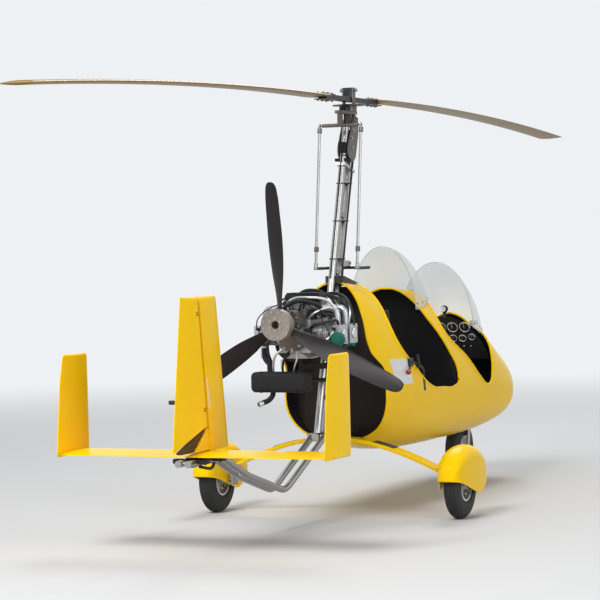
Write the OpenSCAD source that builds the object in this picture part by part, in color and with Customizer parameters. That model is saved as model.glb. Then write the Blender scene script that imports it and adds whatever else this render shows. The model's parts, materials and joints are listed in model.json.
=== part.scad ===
// Two-seat open-cockpit autogyro with a pusher propeller, standing on its gear.
// +X is forward, +Y is the port side, +Z is up. The origin is on the ground under the rotor axis.

/* [Rotor] */
// Diameter of the rotor disc
rotor_d = 8400; // [7800:100:9000]
// Height of the hub bar's middle above the ground
rotor_z = 2640; // [2620:5:2680]
// Chord of a rotor blade
blade_chord = 200; // [160:5:230]
// Thickness of a rotor blade
blade_thick = 24; // [18:1:30]
// Distance from the rotor axis to a blade's root
blade_root = 380; // [340:5:450]
// Upward slope of a blade at its root, in mm per metre
blade_cone = 15.5; // [5:0.5:25]
// Droop of a resting blade, in mm per metre squared
blade_droop = 10; // [4:0.5:12]
// Width of the hub bar
hub_bar_w = 56; // [44:1:58]
// Thickness of the hub bar
hub_bar_t = 30; // [22:1:34]

/* [Rotor head] */
// Height of the gimbal's centre above the ground
gimbal_z = 2500; // [2490:1:2510]
// Distance of the gimbal ahead of the rotor axis
gimbal_x = 10; // [0:1:25]
// Radius of the gimbal's pins
gimbal_pin_r = 10; // [8:0.5:12]
// Radius of the bearing housing
bearing_r = 50; // [40:1:60]
// Height of the teeter bolt above the hub bar's middle
teeter_rise = 60; // [55:1:70]
// Radius of the teeter bolt
teeter_bolt_r = 8; // [6:0.5:10]

/* [Control linkage] */
// Distance of a push rod from the middle plane
rod_y = 142; // [130:1:150]
// Distance of the push rods behind the gimbal
rod_back = 165; // [155:1:175]
// Drop of the push rods' ends below the gimbal
rod_drop = 30; // [26:1:34]
// Radius of a push rod
rod_r = 9; // [6:0.5:10]
// Height of the control yoke's pivot
yoke_z = 1590; // [1580:1:1605]
// Position of the control yoke's pivot ahead of the rotor axis
yoke_x = -105; // [-110:1:-100]

/* [Mast] */
// Height of the mast's foot
mast_foot_z = 520; // [500:5:540]
// Position of the mast's foot ahead of the rotor axis
mast_foot_x = -585; // [-600:5:-570]
// Radius of a mast tube
mast_tube_r = 22; // [18:1:26]
// Distance between the two mast tubes' axes
mast_pitch = 110; // [90:5:120]

/* [Pod] */
// Thickness of the pod's shell
pod_wall = 7; // [5:1:10]
// Height of the cockpit floor's top
floor_z = 460; // [455:1:475]
// Thickness of the cockpit floor and the bulkheads
board_t = 10; // [8:1:14]
// Position of the firewall
firewall_x = -120; // [-150:5:-100]
// Thickness of the windscreens
screen_t = 4; // [3:0.5:6]
// Radius of the front windscreen's arch
front_screen_w = 235; // [200:5:260]
// Radius of the rear windscreen's arch
rear_screen_w = 270; // [230:5:290]

/* [Seats] */
// Width of a seat
seat_w = 430; // [380:10:460]
// Thickness of a seat's padding
seat_t = 110; // [80:5:130]

/* [Wheels] */
// Outer diameter of a tyre
tyre_d = 420; // [400:5:430]
// Width of a tyre
tyre_w = 100; // [90:2:106]
// Diameter of a rim at the tyre's bead
rim_d = 205; // [190:5:220]
// Distance between the main wheels' middles
track = 1660; // [1600:10:1700]
// Position of the main axle ahead of the rotor axis
main_x = -350; // [-356:1:-346]
// Position of the nose axle ahead of the rotor axis
nose_x = 1990; // [1980:5:2000]
// Trail of the nose wheel behind its steering axis
nose_trail = 25; // [10:5:30]
// Radius of the main axles
axle_r = 12.5; // [10:0.5:15]
// Radius of the nose wheel's axle
nose_axle_r = 10; // [9:0.5:12]
// Radius of the hole through the nose wheel's axle
nose_bore_r = 6; // [4:0.5:7]

/* [Landing gear] */
// Thickness of the gear bow
bow_t = 26; // [20:1:32]
// Width of the gear bow
bow_w = 108; // [90:2:112]
// Height of the gear bow's end
bow_end_z = 300; // [290:5:310]
// Half the width of a spat
spat_half_w = 86; // [78:1:92]
// Thickness of a spat's shell
spat_wall = 4; // [3:0.5:5]

/* [Tail] */
// Half the span of the stabiliser
stab_half = 800; // [740:10:840]
// Height of the stabiliser's middle
stab_z = 560; // [556:1:566]
// Thickness of the stabiliser
stab_t = 30; // [24:1:34]
// Height of the side fins' tops
side_fin_top = 1120; // [1000:10:1200]
// Thickness of a side fin at its foot
side_fin_t = 28; // [20:1:34]
// Height of the middle fin's top
fin_top = 1440; // [1340:10:1480]
// Thickness of the middle fin at the rudder's hinge
fin_t = 54; // [44:2:60]
// Radius of the rudder's hinge pins
hinge_pin_r = 5; // [4:0.5:6]

/* [Engine] */
// Height of the propeller's axis
prop_z = 1238; // [1230:1:1250]
// Position of the propeller's plane ahead of the rotor axis
prop_x = -1156; // [-1160:1:-1150]
// Diameter of the propeller
prop_d = 1720; // [1600:10:1740]
// Radius of the propeller's spacer disc
prop_disc_r = 95; // [80:1:100]
// Radius of the hole through the propeller's spacer disc
prop_bore_r = 24; // [18:1:30]
// Height of the crankshaft
crank_z = 1165; // [1155:1:1175]
// Radius of a cylinder's fins
cylinder_r = 62; // [55:1:68]
// Distance from the crankshaft to a rocker cover's end
cylinder_reach = 285; // [260:5:300]

/* [Frame] */
// Radius of the keel tube
keel_r = 25; // [20:1:27]
// Radius of the two tail tubes
tail_tube_r = 20; // [16:1:24]
// Height of the keel's lowest point behind the mast
keel_low_z = 247; // [235:1:270]

/* [Hidden] */
$fn = 32;

gap = 0.3;
tyre_r = tyre_d / 2;
rim_r = rim_d / 2;
head_r = rotor_d / 2;
mast_top_z = gimbal_z - 40;
mast_slope = (gimbal_x - mast_foot_x) / (gimbal_z - mast_foot_z);
mast_lean = atan(mast_slope);
rod_top = [gimbal_x - rod_back, gimbal_z - rod_drop];
rod_foot = [yoke_x - rod_back, yoke_z - rod_drop];
steer_x = nose_x + nose_trail;
crown_z = tyre_d + 10;
bow_z = mast_foot_z - keel_r - gap - bow_t / 2;
keel_rear = [-230, mast_foot_z];
keel_mid = [300, 402];

// Largest half thickness of the aerofoil for a unit of thickness
foil_max = max([for (p = foil(40, 1)) p[1]]);
tail_seat_z = stab_z - foil_max * stab_t - tail_tube_r - gap;
prop_face_x = prop_x - 94;
filter_x = -600 + 28 + gap;
filter_z = 1130;
hinge_low = [-2284, 716];
hinge_high = [-2370, fin_top];
hinge_lean = atan((hinge_low[0] - hinge_high[0]) / (hinge_high[1] - hinge_low[1]));

yellow = "#f2c800";
steel = "#c9ccd0";
alloy = "#b4b8bd";
dark = "#1c1c1e";
bronze = "#735a28";
teal = "#1f7a68";

// Stations of the pod from nose to tail
POD_X = 0;
POD_HALF = 1;
POD_LOW = 2;
POD_MID = 3;
POD_TOP = 4;
POD = [
    [2425, 60, 565, 650, 735],
    [2360, 150, 475, 650, 845],
    [2230, 225, 408, 665, 955],
    [2050, 282, 374, 690, 1060],
    [1850, 322, 358, 715, 1150],
    [1550, 350, 350, 735, 1250],
    [1200, 366, 350, 745, 1345],
    [800, 374, 350, 750, 1400],
    [350, 374, 362, 755, 1425],
    [-50, 366, 405, 755, 1455],
    [-290, 352, 462, 760, 1475],
    [-500, 325, 520, 770, 1450]
];

// Shared shapes

// Power that keeps the sign of its base
function spow(v, e) = sign(v) * pow(abs(v), e);

// Round the pod at one station, elliptic above its widest line and fuller below it
function pod_ring(s, inset, n = 36) = [
    for (i = [0 : n - 1])
        let (a = 360 * i / n, up = sin(a) >= 0, e = up ? 1 : 0.84)
        [
            (s[POD_HALF] - inset) * spow(cos(a), e),
            s[POD_MID] + (abs((up ? s[POD_TOP] : s[POD_LOW]) - s[POD_MID]) - inset) * spow(sin(a), e)
        ]
];

module pod_slab(s, inset, shift) {
    translate([s[POD_X] + shift, 0, 0])
        rotate([90, 0, 90])
            linear_extrude(1)
                polygon(pod_ring(s, inset));
}

// The pod as a full body, its surface moved in by inset and its nose moved back by as much
module pod_body(inset) {
    for (i = [0 : len(POD) - 2])
        hull() {
            pod_slab(POD[i], inset, i == 0 ? -inset : 0);
            pod_slab(POD[i + 1], inset, 0);
        }
}

// A straight tube or bar between two points
module bar(a, b, r) {
    d = b - a;
    translate(a)
        rotate([0, acos(d[2] / norm(d)), atan2(d[1], d[0])])
            cylinder(h = norm(d), r = r);
}

function unit(v) = v / norm(v);

// A path whose inner corners are replaced by short curves that start a given way before them
function eased(points, way, steps = 3) = [
    for (i = [0 : len(points) - 1])
        if (i == 0 || i == len(points) - 1)
            points[i]
        else
            let (
                p = points[i],
                a = p + way * unit(points[i - 1] - p),
                b = p + way * unit(points[i + 1] - p)
            )
            for (k = [0 : steps])
                let (u = k / steps)
                (1 - u) * (1 - u) * a + 2 * u * (1 - u) * p + u * u * b
];

// A round tube swept along an eased path, its rings turned about a side direction
module tube(points, r, way, side = [0, 1, 0], n = 14) {
    path = eased(points, way);
    last = len(path) - 1;
    loft([
        for (i = [0 : last])
            let (
                t = unit(path[min(i + 1, last)] - path[max(i - 1, 0)]),
                u = unit(cross(side, t)),
                v = cross(t, u)
            )
            [for (k = [0 : n - 1]) path[i] + r * (cos(360 * k / n) * u - sin(360 * k / n) * v)]
    ]);
}

// A closed skin through rings that have the same number of points, clockwise seen from the last ring
module loft(rings) {
    n = len(rings[0]);
    m = len(rings);
    points = [for (ring = rings) for (p = ring) p];
    sides = [
        for (j = [0 : m - 2]) for (i = [0 : n - 1])
            let (a = j * n + i, b = j * n + (i + 1) % n, c = a + n, d = b + n)
            for (f = [[a, b, d], [a, d, c]]) f
    ];
    first = [[for (i = [n - 1 : -1 : 0]) i]];
    last = [[for (i = [0 : n - 1]) (m - 1) * n + i]];
    polyhedron(points, concat(first, sides, last));
}

// An aerofoil with a round nose at 0 and its tail at -1, n points a side
function foil(n, thick) = concat(
    [for (i = [0 : n]) let (s = pow(i / n, 1.6)) [-s, foil_half(s) * thick]],
    [for (i = [n - 1 : -1 : 1]) let (s = pow(i / n, 1.6)) [-s, -foil_half(s) * thick]]
);

// Half thickness of the aerofoil for a unit of thickness, blunt at the tail
function foil_half(s) = 1.04 * sqrt(s) * (1 - s) + 0.34 * s * (1 - s) + 0.07 * s;

// Plate in the X-Z plane with rounded ends about two points
module link_plate(a, b, ra, rb, y, t) {
    translate([0, y + t / 2, 0])
        rotate([90, 0, 0])
            linear_extrude(t)
                hull() {
                    translate(a) circle(r = ra);
                    translate(b) circle(r = rb);
                }
}

module pin_y(x, y0, y1, z, r) {
    translate([x, min(y0, y1), z])
        rotate([-90, 0, 0])
            cylinder(h = abs(y1 - y0), r = r);
}

module pin_x(x0, x1, y, z, r) {
    translate([min(x0, x1), y, z])
        rotate([0, 90, 0])
            cylinder(h = abs(x1 - x0), r = r);
}

module block(low, high) {
    translate(low)
        cube(high - low);
}

// Pod

// Side outline of the front cockpit's opening
FRONT_OPENING = [
    [900, 1520], [880, 1400], [830, 1170], [1200, 905], [1420, 765], [1520, 728], [1640, 722],
    [1770, 765], [1840, 840], [1855, 925], [1800, 1050], [1690, 1190], [1640, 1520]
];

// Side outline of the rear cockpit's opening
REAR_OPENING = [
    [-10, 1560], [10, 1370], [180, 1150], [380, 930], [520, 810], [640, 762], [860, 750],
    [950, 770], [965, 830], [840, 1000], [700, 1170], [700, 1290], [760, 1560]
];

// Side outline of what lies behind the pod's rear edge
REAR_EDGE = [
    [-290, 380], [-290, 520], [-318, 640], [-326, 760], [-330, 930], [-400, 985], [-455, 1030],
    [-476, 1090], [-440, 1230], [-360, 1400], [-292, 1500], [-292, 1600], [-800, 1600], [-800, 380]
];

module side_cut(outline, half) {
    translate([0, half, 0])
        rotate([90, 0, 0])
            linear_extrude(2 * half)
                polygon(outline);
}

module pod_shell() {
    well_x = 175;
    well_y = 142;
    color(yellow)
        difference() {
            pod_body(0);
            pod_body(pod_wall);
            block([-600, -300, 600], [-495, 300, 1300]);
            side_cut(FRONT_OPENING, 600);
            side_cut(REAR_OPENING, 600);
            side_cut(REAR_EDGE, 600);
            on_mast(1470)
                translate([mast_pitch / 2, 0, -120])
                    cylinder(h = 240, r = mast_tube_r + 4);
            hull()
                for (sx = [-1, 1]) for (sy = [-1, 1])
                    translate([nose_x + sx * (well_x - 40), sy * (well_y - 40), 300])
                        cylinder(h = 140, r = 40);
        }
}

// What fits inside the pod with a small gap
module pod_room() {
    pod_body(pod_wall + gap);
}

module cockpit_floor() {
    color(dark)
        intersection() {
            pod_room();
            difference() {
                block([firewall_x + gap, -400, floor_z - board_t], [1880, 400, floor_z]);
                block([firewall_x - 1, -keel_r - 2, 300], [keel_mid[0] - 40, keel_r + 2, 600]);
                block([1540, -keel_r - 2, 300], [1900, keel_r + 2, 600]);
            }
        }
}

module firewall() {
    keel_fall = (keel_rear[1] - keel_mid[1]) / (keel_mid[0] - keel_rear[0]);
    keel_z = keel_rear[1] - keel_fall * (firewall_x - keel_rear[0]);
    color("#4a3a2c")
        intersection() {
            pod_room();
            difference() {
                block([firewall_x - board_t, -400, 380], [firewall_x, 400, 1440]);
                pin_x(firewall_x - 50, firewall_x + 50, 0, keel_z, keel_r + 8);
            }
        }
}

// Bucket seat as one padded body, its back leaning aft
module seat(x, z, back_h, lean) {
    back = [x - back_h * sin(lean), z + back_h * cos(lean)];
    translate([0, seat_w / 2, 0])
        rotate([90, 0, 0])
            linear_extrude(seat_w)
                polygon([
                    [x - 40, z], [x + 430, z], [x + 450, z + seat_t * 0.6], [x + 430, z + seat_t],
                    [x + 120, z + seat_t * 0.9], [x + 70, z + seat_t * 1.3],
                    [back[0] + seat_t * 0.8, back[1] - 20], [back[0] + seat_t * 0.5, back[1]],
                    [back[0], back[1]], [x - 60, z + 60]
                ]);
}

module front_seat() {
    color(dark) seat(1060, floor_z + gap, 700, 14);
}

module rear_seat() {
    color(dark) seat(240, floor_z + gap, 860, 14);
}

// One arch of a windscreen: a strip bent over a half ellipse
function screen_arch(x, w, foot, rise, t, n = 14) = concat(
    [for (i = [0 : n]) let (a = 180 * i / n) [x, -w * cos(a), foot + rise * sin(a)]],
    [for (i = [n : -1 : 0]) let (a = 180 * i / n) [x, -(w - t) * cos(a), foot + (rise - t) * sin(a)]]
);

// A bubble of transparent sheet: arches that shrink forward, cut off at the pod
module windscreen(x0, x1, w, foot0, foot1, top) {
    steps = 7;
    difference() {
        loft([
            for (i = [0 : steps])
                let (s = i / steps, f = sqrt(max(0, 1 - pow(s * 0.97, 2))))
                screen_arch(x0 + (x1 - x0) * s, w * (0.45 + 0.55 * f), foot0 + (foot1 - foot0) * s - 60,
                    (top - foot0) * f + 60, screen_t)
        ]);
        pod_body(-gap);
        block([x0 - 1200, -600, 0], [x0 + 1200, 600, foot1 - 60]);
    }
}

module front_windscreen() {
    color("lightblue", 0.35) windscreen(1560, 2010, front_screen_w, 1170, 1050, 1570);
}

module rear_windscreen() {
    color("lightblue", 0.35) windscreen(560, 1020, rear_screen_w, 1290, 1290, 1690);
}

module instrument_panel() {
    color(dark)
        intersection() {
            pod_room();
            translate([1880, 0, 880])
                rotate([0, -28.5, 0])
                    block([0, -400, -10], [26, 400, 345]);
        }
}

module compass() {
    color(dark)
        difference() {
            translate([1730, 0, 1170]) {
                cylinder(h = 50, r = 15);
                translate([0, 0, 64])
                    sphere(r = 27);
            }
            pod_body(-gap);
        }
}

// Frame

module keel_frame() {
    fork_z = [crown_z + 26, crown_z + 150];
    color(steel)
        difference() {
            union() {
                tube([[mast_foot_x - 90, 0, mast_foot_z], [keel_rear[0], 0, keel_rear[1]],
                    [keel_mid[0], 0, keel_mid[1]], [1600, 0, keel_mid[1]],
                    [1780, 0, crown_z + 100], [steer_x, 0, crown_z + 100]], keel_r, 60);
                translate([steer_x, 0, fork_z[0]])
                    cylinder(h = fork_z[1] - fork_z[0], r = 30);
                for (side = [-1, 1])
                    tube([[mast_foot_x - 40, side * 42, mast_foot_z], [-1250, side * 42, keel_low_z],
                        [-1770, side * 34, 390], [-2090, side * 30, tail_seat_z],
                        [-2540, side * 30, tail_seat_z]], tail_tube_r, 70);
                pin_y(mast_foot_x - 40, -66, 66, mast_foot_z, keel_r);
                pin_y(-1770, -31, 31, 392, tail_tube_r - 5);
                pin_y(-2500, -31, 31, tail_seat_z, 12);
            }
            translate([steer_x, 0, fork_z[0] - 1])
                cylinder(h = fork_z[1] - fork_z[0] + 2, r = 16 + gap);
        }
}

// Places what follows on the mast's leaning line, at a height above the ground
module on_mast(z) {
    translate([mast_foot_x + (z - mast_foot_z) * mast_slope, 0, z])
        rotate([0, mast_lean, 0])
            children();
}

// Place at a height where a cross tube of a radius rests behind the mast's tubes
function mast_back(z, r) =
    mast_foot_x + (z - mast_foot_z) * mast_slope - (mast_pitch / 2 + mast_tube_r + r + gap) / cos(mast_lean);

module mast() {
    length = (mast_top_z - mast_foot_z) / cos(mast_lean);
    color(steel)
        difference() {
            union() {
                for (side = [-1, 1])
                    on_mast(mast_foot_z)
                        translate([side * mast_pitch / 2, 0, 0])
                            cylinder(h = length, r = mast_tube_r);
                for (z = [760, 1000, 1300, 1540, 1900, 2190])
                    on_mast(z)
                        block([-mast_pitch / 2, -10, -14], [mast_pitch / 2, 10, 14]);
                on_mast(2200)
                    block([-mast_pitch / 2 - 30, -30, -9], [mast_pitch / 2 + 30, 30, 9]);
                for (side = [-1, 1])
                    link_plate([yoke_x - 110, yoke_z], [yoke_x, yoke_z], 22, 16, side * 22, 6);
            }
            pin_y(yoke_x, -40, 40, yoke_z, 8 + gap);
            block([mast_foot_x - 150, -60, mast_foot_z - 60],
                [mast_foot_x + 150, 60, mast_foot_z + keel_r + gap]);
        }
}

module mast_cover() {
    color(dark)
        difference() {
            hull() {
                translate([-300, 0, 1470])
                    cylinder(h = 42, r = 60);
                translate([-40, 0, 1448])
                    cylinder(h = 16, r = 46);
            }
            pod_body(-gap);
            for (side = [-1, 1])
                on_mast(1500)
                    translate([side * mast_pitch / 2, 0, -200])
                        cylinder(h = 400, r = mast_tube_r + 1);
        }
}

// Side plates that join the two mast tubes and carry the gimbal
module head_plates() {
    color(alloy)
        difference() {
            union()
                for (side = [-1, 1]) {
                    link_plate([gimbal_x - 62, mast_top_z - 150], [gimbal_x - 10, mast_top_z - 30], 70, 60,
                        side * 34, 8);
                    link_plate([gimbal_x - 10, mast_top_z - 30], [gimbal_x, gimbal_z], 50, 22,
                        side * 34, 8);
                }
            pin_y(gimbal_x, -60, 60, gimbal_z, gimbal_pin_r + gap);
        }
}

module engine_mount() {
    r = 11;
    leg_y = 90;
    high = [mast_back(1300, r + 1), 1300];
    low = [mast_back(870, r + 1), 870];
    case_front = -626;
    color(dark) {
        for (side = [-1, 1]) {
            tube([[high[0], side * leg_y, high[1]], [high[0] - 90, side * leg_y, 1225],
                [case_front + gap, side * leg_y, 1225]], r, 20);
            tube([[low[0], side * leg_y, low[1]], [-660, side * leg_y, low[1]],
                [-660, side * leg_y, crank_z - 110 - gap]], r, 20);
        }
        pin_y(high[0], -leg_y - 4, leg_y + 4, high[1], r + 1);
        pin_y(low[0], -leg_y - 4, leg_y + 4, low[1], r + 1);
    }
}

// Engine

module engine_case() {
    color(alloy)
        union() {
            block([-960, -105, crank_z - 110], [-626, 105, crank_z + 95]);
            pin_x(-626, -600, 0, crank_z, 84);
            block([-930, -70, crank_z - 145], [-690, 70, crank_z - 110]);
        }
}

module gearbox() {
    color(alloy)
        union() {
            pin_x(-1062, -960.3, 0, prop_z, 82);
            pin_x(-1030, -960.3, 0, crank_z, 95);
            pin_x(-1090, -1062, 0, prop_z, 52);
        }
}

module cylinders(side) {
    color(alloy)
        for (x = [-705, -865])
            union() {
                pin_y(x, side * 105.3, side * (cylinder_reach - 60), crank_z, cylinder_r - 12);
                for (k = [0 : 6])
                    pin_y(x, side * (122 + k * 13), side * (127 + k * 13), crank_z, cylinder_r);
                block([x - 62, min(side * (cylinder_reach - 62), side * cylinder_reach), crank_z - 58],
                    [x + 62, max(side * (cylinder_reach - 62), side * cylinder_reach), crank_z + 58]);
            }
}

module cylinders_left() {
    cylinders(1);
}

module cylinders_right() {
    cylinders(-1);
}

module intake() {
    color(alloy) {
        block([-900, -60, crank_z + 95 + gap], [-680, 60, crank_z + 190]);
        for (side = [-1, 1])
            pin_y(filter_x, side * 40, side * 125, filter_z, 28);
        for (side = [-1, 1])
            for (x = [-720, -850])
                tube([[x, side * 50, crank_z + 160], [x, side * 238, crank_z + 160],
                    [x, side * 238, crank_z + 58 + gap]], 20, 45, [1, 0, 0]);
    }
}

module silencer() {
    color(dark) {
        block([-1060, -170, 820], [-940, 270, 945]);
        for (side = [-1, 1])
            tube([[-865, side * 240, crank_z - 58 - gap], [-865, side * 240, 990],
                [-960, side * 120, 900]], 18, 40, [1, 0, 0]);
    }
}

module air_filters() {
    color(teal)
        for (side = [-1, 1])
            pin_y(filter_x, side * (125 + gap), side * 235, filter_z, 50);
}

// Gear

// Height of the gear bow's middle line at a distance from the middle plane
function bow_line(y) = let (s = max(0, abs(y) - 100) / 600) bow_z - (bow_z - bow_end_z) * pow(s, 1.6);

module gear_bow() {
    n = 28;
    end = 700;
    ys = [for (i = [0 : n]) -end + 2 * end * i / n];
    color(yellow)
        translate([main_x - bow_w / 2, 0, 0])
            rotate([90, 0, 90])
                linear_extrude(bow_w)
                    polygon(concat(
                        [for (y = ys) [y, bow_line(y) - bow_t / 2]],
                        [for (i = [n : -1 : 0]) [ys[i], bow_line(ys[i]) + bow_t / 2]]
                    ));
}

module axle(side) {
    color(steel)
        union() {
            block([main_x - 42, min(side * 700.3, side * 712), tyre_r - 30],
                [main_x + 42, max(side * 700.3, side * 712), bow_end_z + bow_t / 2]);
            pin_y(main_x, side * 712, side * (track / 2 + 68), tyre_r, axle_r);
            pin_y(main_x, side * (track / 2 + 58), side * (track / 2 + 68), tyre_r, axle_r + 6);
        }
}

module axle_left() {
    axle(1);
}

module axle_right() {
    axle(-1);
}

// Stations of a spat from tail to front: place, half width, bottom and top
SPAT_X = 0;
SPAT_HALF = 1;
SPAT_TOP = 2;
SPAT = [
    [-250, 0.18, 310],
    [-215, 0.55, 370],
    [-140, 0.88, 425],
    [-20, 1, 452],
    [120, 1, 450],
    [260, 0.86, 405],
    [360, 0.6, 335],
    [420, 0.2, 265]
];

module spat_body(inset) {
    for (i = [0 : len(SPAT) - 2])
        hull()
            for (s = [SPAT[i], SPAT[i + 1]])
                translate([s[SPAT_X], 0, 0])
                    for (z = [100, s[SPAT_TOP] - spat_half_w * s[SPAT_HALF]])
                        translate([0, 0, z])
                            rotate([0, 90, 0])
                                cylinder(h = 1, r = spat_half_w * s[SPAT_HALF] - inset, $fn = 24);
}

module spat(side) {
    color(yellow)
        translate([main_x, side * track / 2, 0])
            difference() {
                spat_body(0);
                spat_body(spat_wall);
                translate([0, 200, 0])
                    rotate([90, 0, 0])
                        linear_extrude(400)
                            polygon([[-400, -50], [-400, 262], [-228, 250], [60, 168], [130, 146],
                                [200, 160], [425, 240], [600, 240], [600, -50]]);
                pin_y(0, -side * 200, 0, tyre_r, axle_r + 0.6);
            }
}

module spat_left() {
    spat(1);
}

module spat_right() {
    spat(-1);
}

// Wheels

module tyre() {
    rotate([90, 0, 0])
        rotate_extrude($fn = 64)
            polygon(concat(
                [[rim_r + gap, -tyre_w * 0.36]],
                [for (i = [0 : 16]) let (a = -90 + 180 * i / 16)
                    [rim_r + 18 + (tyre_r - rim_r - 18) * spow(cos(a), 0.6),
                        tyre_w / 2 * spow(sin(a), 0.8)]],
                [[rim_r + gap, tyre_w * 0.36]]
            ));
}

module rim(bore) {
    w = tyre_w * 0.36;
    rotate([90, 0, 0])
        rotate_extrude($fn = 48)
            polygon([[bore, -w - 14], [bore + 16, -w - 14], [bore + 18, -12], [rim_r - 26, -10],
                [rim_r - 12, -w - 6], [rim_r, -w - 6], [rim_r, w + 6], [rim_r - 12, w + 6],
                [rim_r - 26, 10], [bore + 18, 12], [bore + 16, w + 14], [bore, w + 14]]);
}

module tyre_left() {
    color(dark) translate([main_x, track / 2, tyre_r]) tyre();
}

module rim_left() {
    color(steel) translate([main_x, track / 2, tyre_r]) rim(axle_r + gap);
}

module tyre_right() {
    color(dark) translate([main_x, -track / 2, tyre_r]) tyre();
}

module rim_right() {
    color(steel) translate([main_x, -track / 2, tyre_r]) rim(axle_r + gap);
}

module nose_tyre() {
    color(dark) translate([nose_x, 0, tyre_r]) tyre();
}

module nose_rim() {
    color(steel) translate([nose_x, 0, tyre_r]) rim(nose_axle_r + gap);
}

module nose_fork() {
    leg_y = tyre_w / 2 + 10;
    color(steel)
        difference() {
            union() {
                for (side = [-1, 1])
                    link_plate([nose_x, tyre_r], [steer_x, crown_z + 12], 24, 24, side * (leg_y + 6), 12);
                block([steer_x - 40, -leg_y - 12, crown_z], [steer_x + 36, leg_y + 12, crown_z + 24]);
                translate([steer_x, 0, crown_z + 20])
                    cylinder(h = 150, r = 16);
                translate([steer_x, 0, crown_z + 150 + gap])
                    cylinder(h = 22, r = 26);
                pin_y(nose_x, -leg_y - 22, leg_y + 22, tyre_r, nose_axle_r);
            }
            pin_y(nose_x, -leg_y - 40, leg_y + 40, tyre_r, nose_bore_r);
        }
}

// Tail

// A fin between two heights: chord from nose to tail at each end
module fin(y0, y1, z0, z1, nose0, tail0, nose1, tail1, t0, t1) {
    shape = foil(9, 1);
    loft([
        for (s = [[y1, z1, nose1, tail1, t1], [y0, z0, nose0, tail0, t0]])
            [for (p = shape) [s[2] + p[0] * (s[2] - s[3]), s[0] + p[1] * s[4], s[1]]]
    ]);
}

module stabiliser() {
    shape = foil(9, stab_t);
    color(yellow)
        loft([
            for (y = [-stab_half, stab_half])
                [for (p = shape) [-2100 + p[0] * 380, y, stab_z + p[1]]]
        ]);
}

module side_fin(side) {
    y = side * (stab_half + foil_max * side_fin_t + gap);
    color(yellow)
        fin(y, y, stab_z - stab_t / 2, side_fin_top, -2100, -2480, -2105, -2390,
            side_fin_t, side_fin_t * 0.8);
}

module side_fin_left() {
    side_fin(1);
}

module side_fin_right() {
    side_fin(-1);
}

// Places what follows on the rudder's hinge line, a share of the way from its foot to its top
module on_hinge(s) {
    translate([hinge_low[0] + (hinge_high[0] - hinge_low[0]) * s, 0,
        hinge_low[1] + (hinge_high[1] - hinge_low[1]) * s])
        rotate([0, -hinge_lean, 0])
            children();
}

// Part of a fin between its nose and the rudder's hinge
module centre_fin() {
    base = stab_z + foil_max * stab_t + gap;
    color(yellow)
        difference() {
            fin(0, 0, base, fin_top, -1950, -2700, -2080, -2545, fin_t, fin_t * 0.85);
            on_hinge(0)
                block([-900, -100, -400], [fin_t / 2 + 4, 100, 1200]);
        }
    color(yellow)
        for (s = [0.12, 0.86])
            on_hinge(s)
                difference() {
                    union() {
                        cylinder(h = 12, r = 13);
                        block([0, -8, 0], [fin_t / 2 + 14, 8, 12]);
                    }
                    translate([0, 0, -5])
                        cylinder(h = 30, r = hinge_pin_r + gap);
                }
}

module rudder() {
    nose_n = 8;
    // hinge point, tail point and height of each station
    stations = [
        [hinge_high[0], -2530, hinge_high[1], hinge_high[1], 0.85],
        [hinge_low[0], -2660, hinge_low[1], 590, 1]
    ];
    color(yellow)
        difference() {
            loft([
                for (s = stations)
                    let (r = fin_t / 2 * s[4], slope = (s[2] - s[3]) / (s[0] - s[1]))
                    concat(
                        [for (i = [0 : nose_n]) let (a = -90 + 180 * i / nose_n)
                            [s[0] + r * cos(a), r * sin(a), s[2] + slope * r * cos(a)]],
                        [[s[1], 3, s[3]], [s[1], -3, s[3]]]
                    )
            ]);
            for (s = [0.12, 0.86])
                on_hinge(s)
                    block([-18, -60, -6], [60, 60, 18]);
        }
    color(steel)
        for (s = [0.12, 0.86])
            on_hinge(s)
                translate([0, 0, -8])
                    cylinder(h = 28, r = hinge_pin_r);
}

// Rotor head

module gimbal_block() {
    half = [22, 29];
    color(steel)
        union() {
            block([gimbal_x - half[0], -half[1], gimbal_z - 20],
                [gimbal_x + half[0], half[1], gimbal_z + 20]);
            pin_y(gimbal_x, -48, 48, gimbal_z, gimbal_pin_r);
            pin_x(gimbal_x - 42, gimbal_x + 42, 0, gimbal_z, gimbal_pin_r);
        }
}

module rotor_head() {
    bar_z = gimbal_z + 45;
    color(alloy)
        difference() {
            union() {
                block([gimbal_x - rod_back - 20, -28, bar_z], [gimbal_x + 60, 28, bar_z + 20]);
                for (side = [-1, 1])
                    block([gimbal_x + side * 30 - 6, -22, gimbal_z - 20],
                        [gimbal_x + side * 30 + 6, 22, bar_z + 1]);
                translate([0, 0, bar_z + 19])
                    cylinder(h = 36, r = bearing_r);
                block([rod_top[0] - 14, -14, rod_top[1] - 10], [rod_top[0] + 14, 14, bar_z + 1]);
                pin_y(rod_top[0], -rod_y + 18, rod_y - 18, rod_top[1], 12);
                pin_y(rod_top[0], -rod_y, rod_y, rod_top[1], 5);
                for (side = [-1, 1])
                    translate([rod_top[0], side * rod_y, rod_top[1]])
                        sphere(r = 8);
            }
            pin_x(gimbal_x - 60, gimbal_x + 60, 0, gimbal_z, gimbal_pin_r + gap);
        }
}

module teeter_tower() {
    base_z = gimbal_z + 100 + gap;
    bolt_z = rotor_z + teeter_rise;
    color(steel)
        union() {
            translate([0, 0, base_z])
                cylinder(h = 11, r = 42);
            for (side = [-1, 1])
                block([-22, side * 34 - 4, base_z + 10], [22, side * 34 + 4, bolt_z + 16]);
            pin_y(0, -50, 50, bolt_z, teeter_bolt_r);
        }
}

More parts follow.
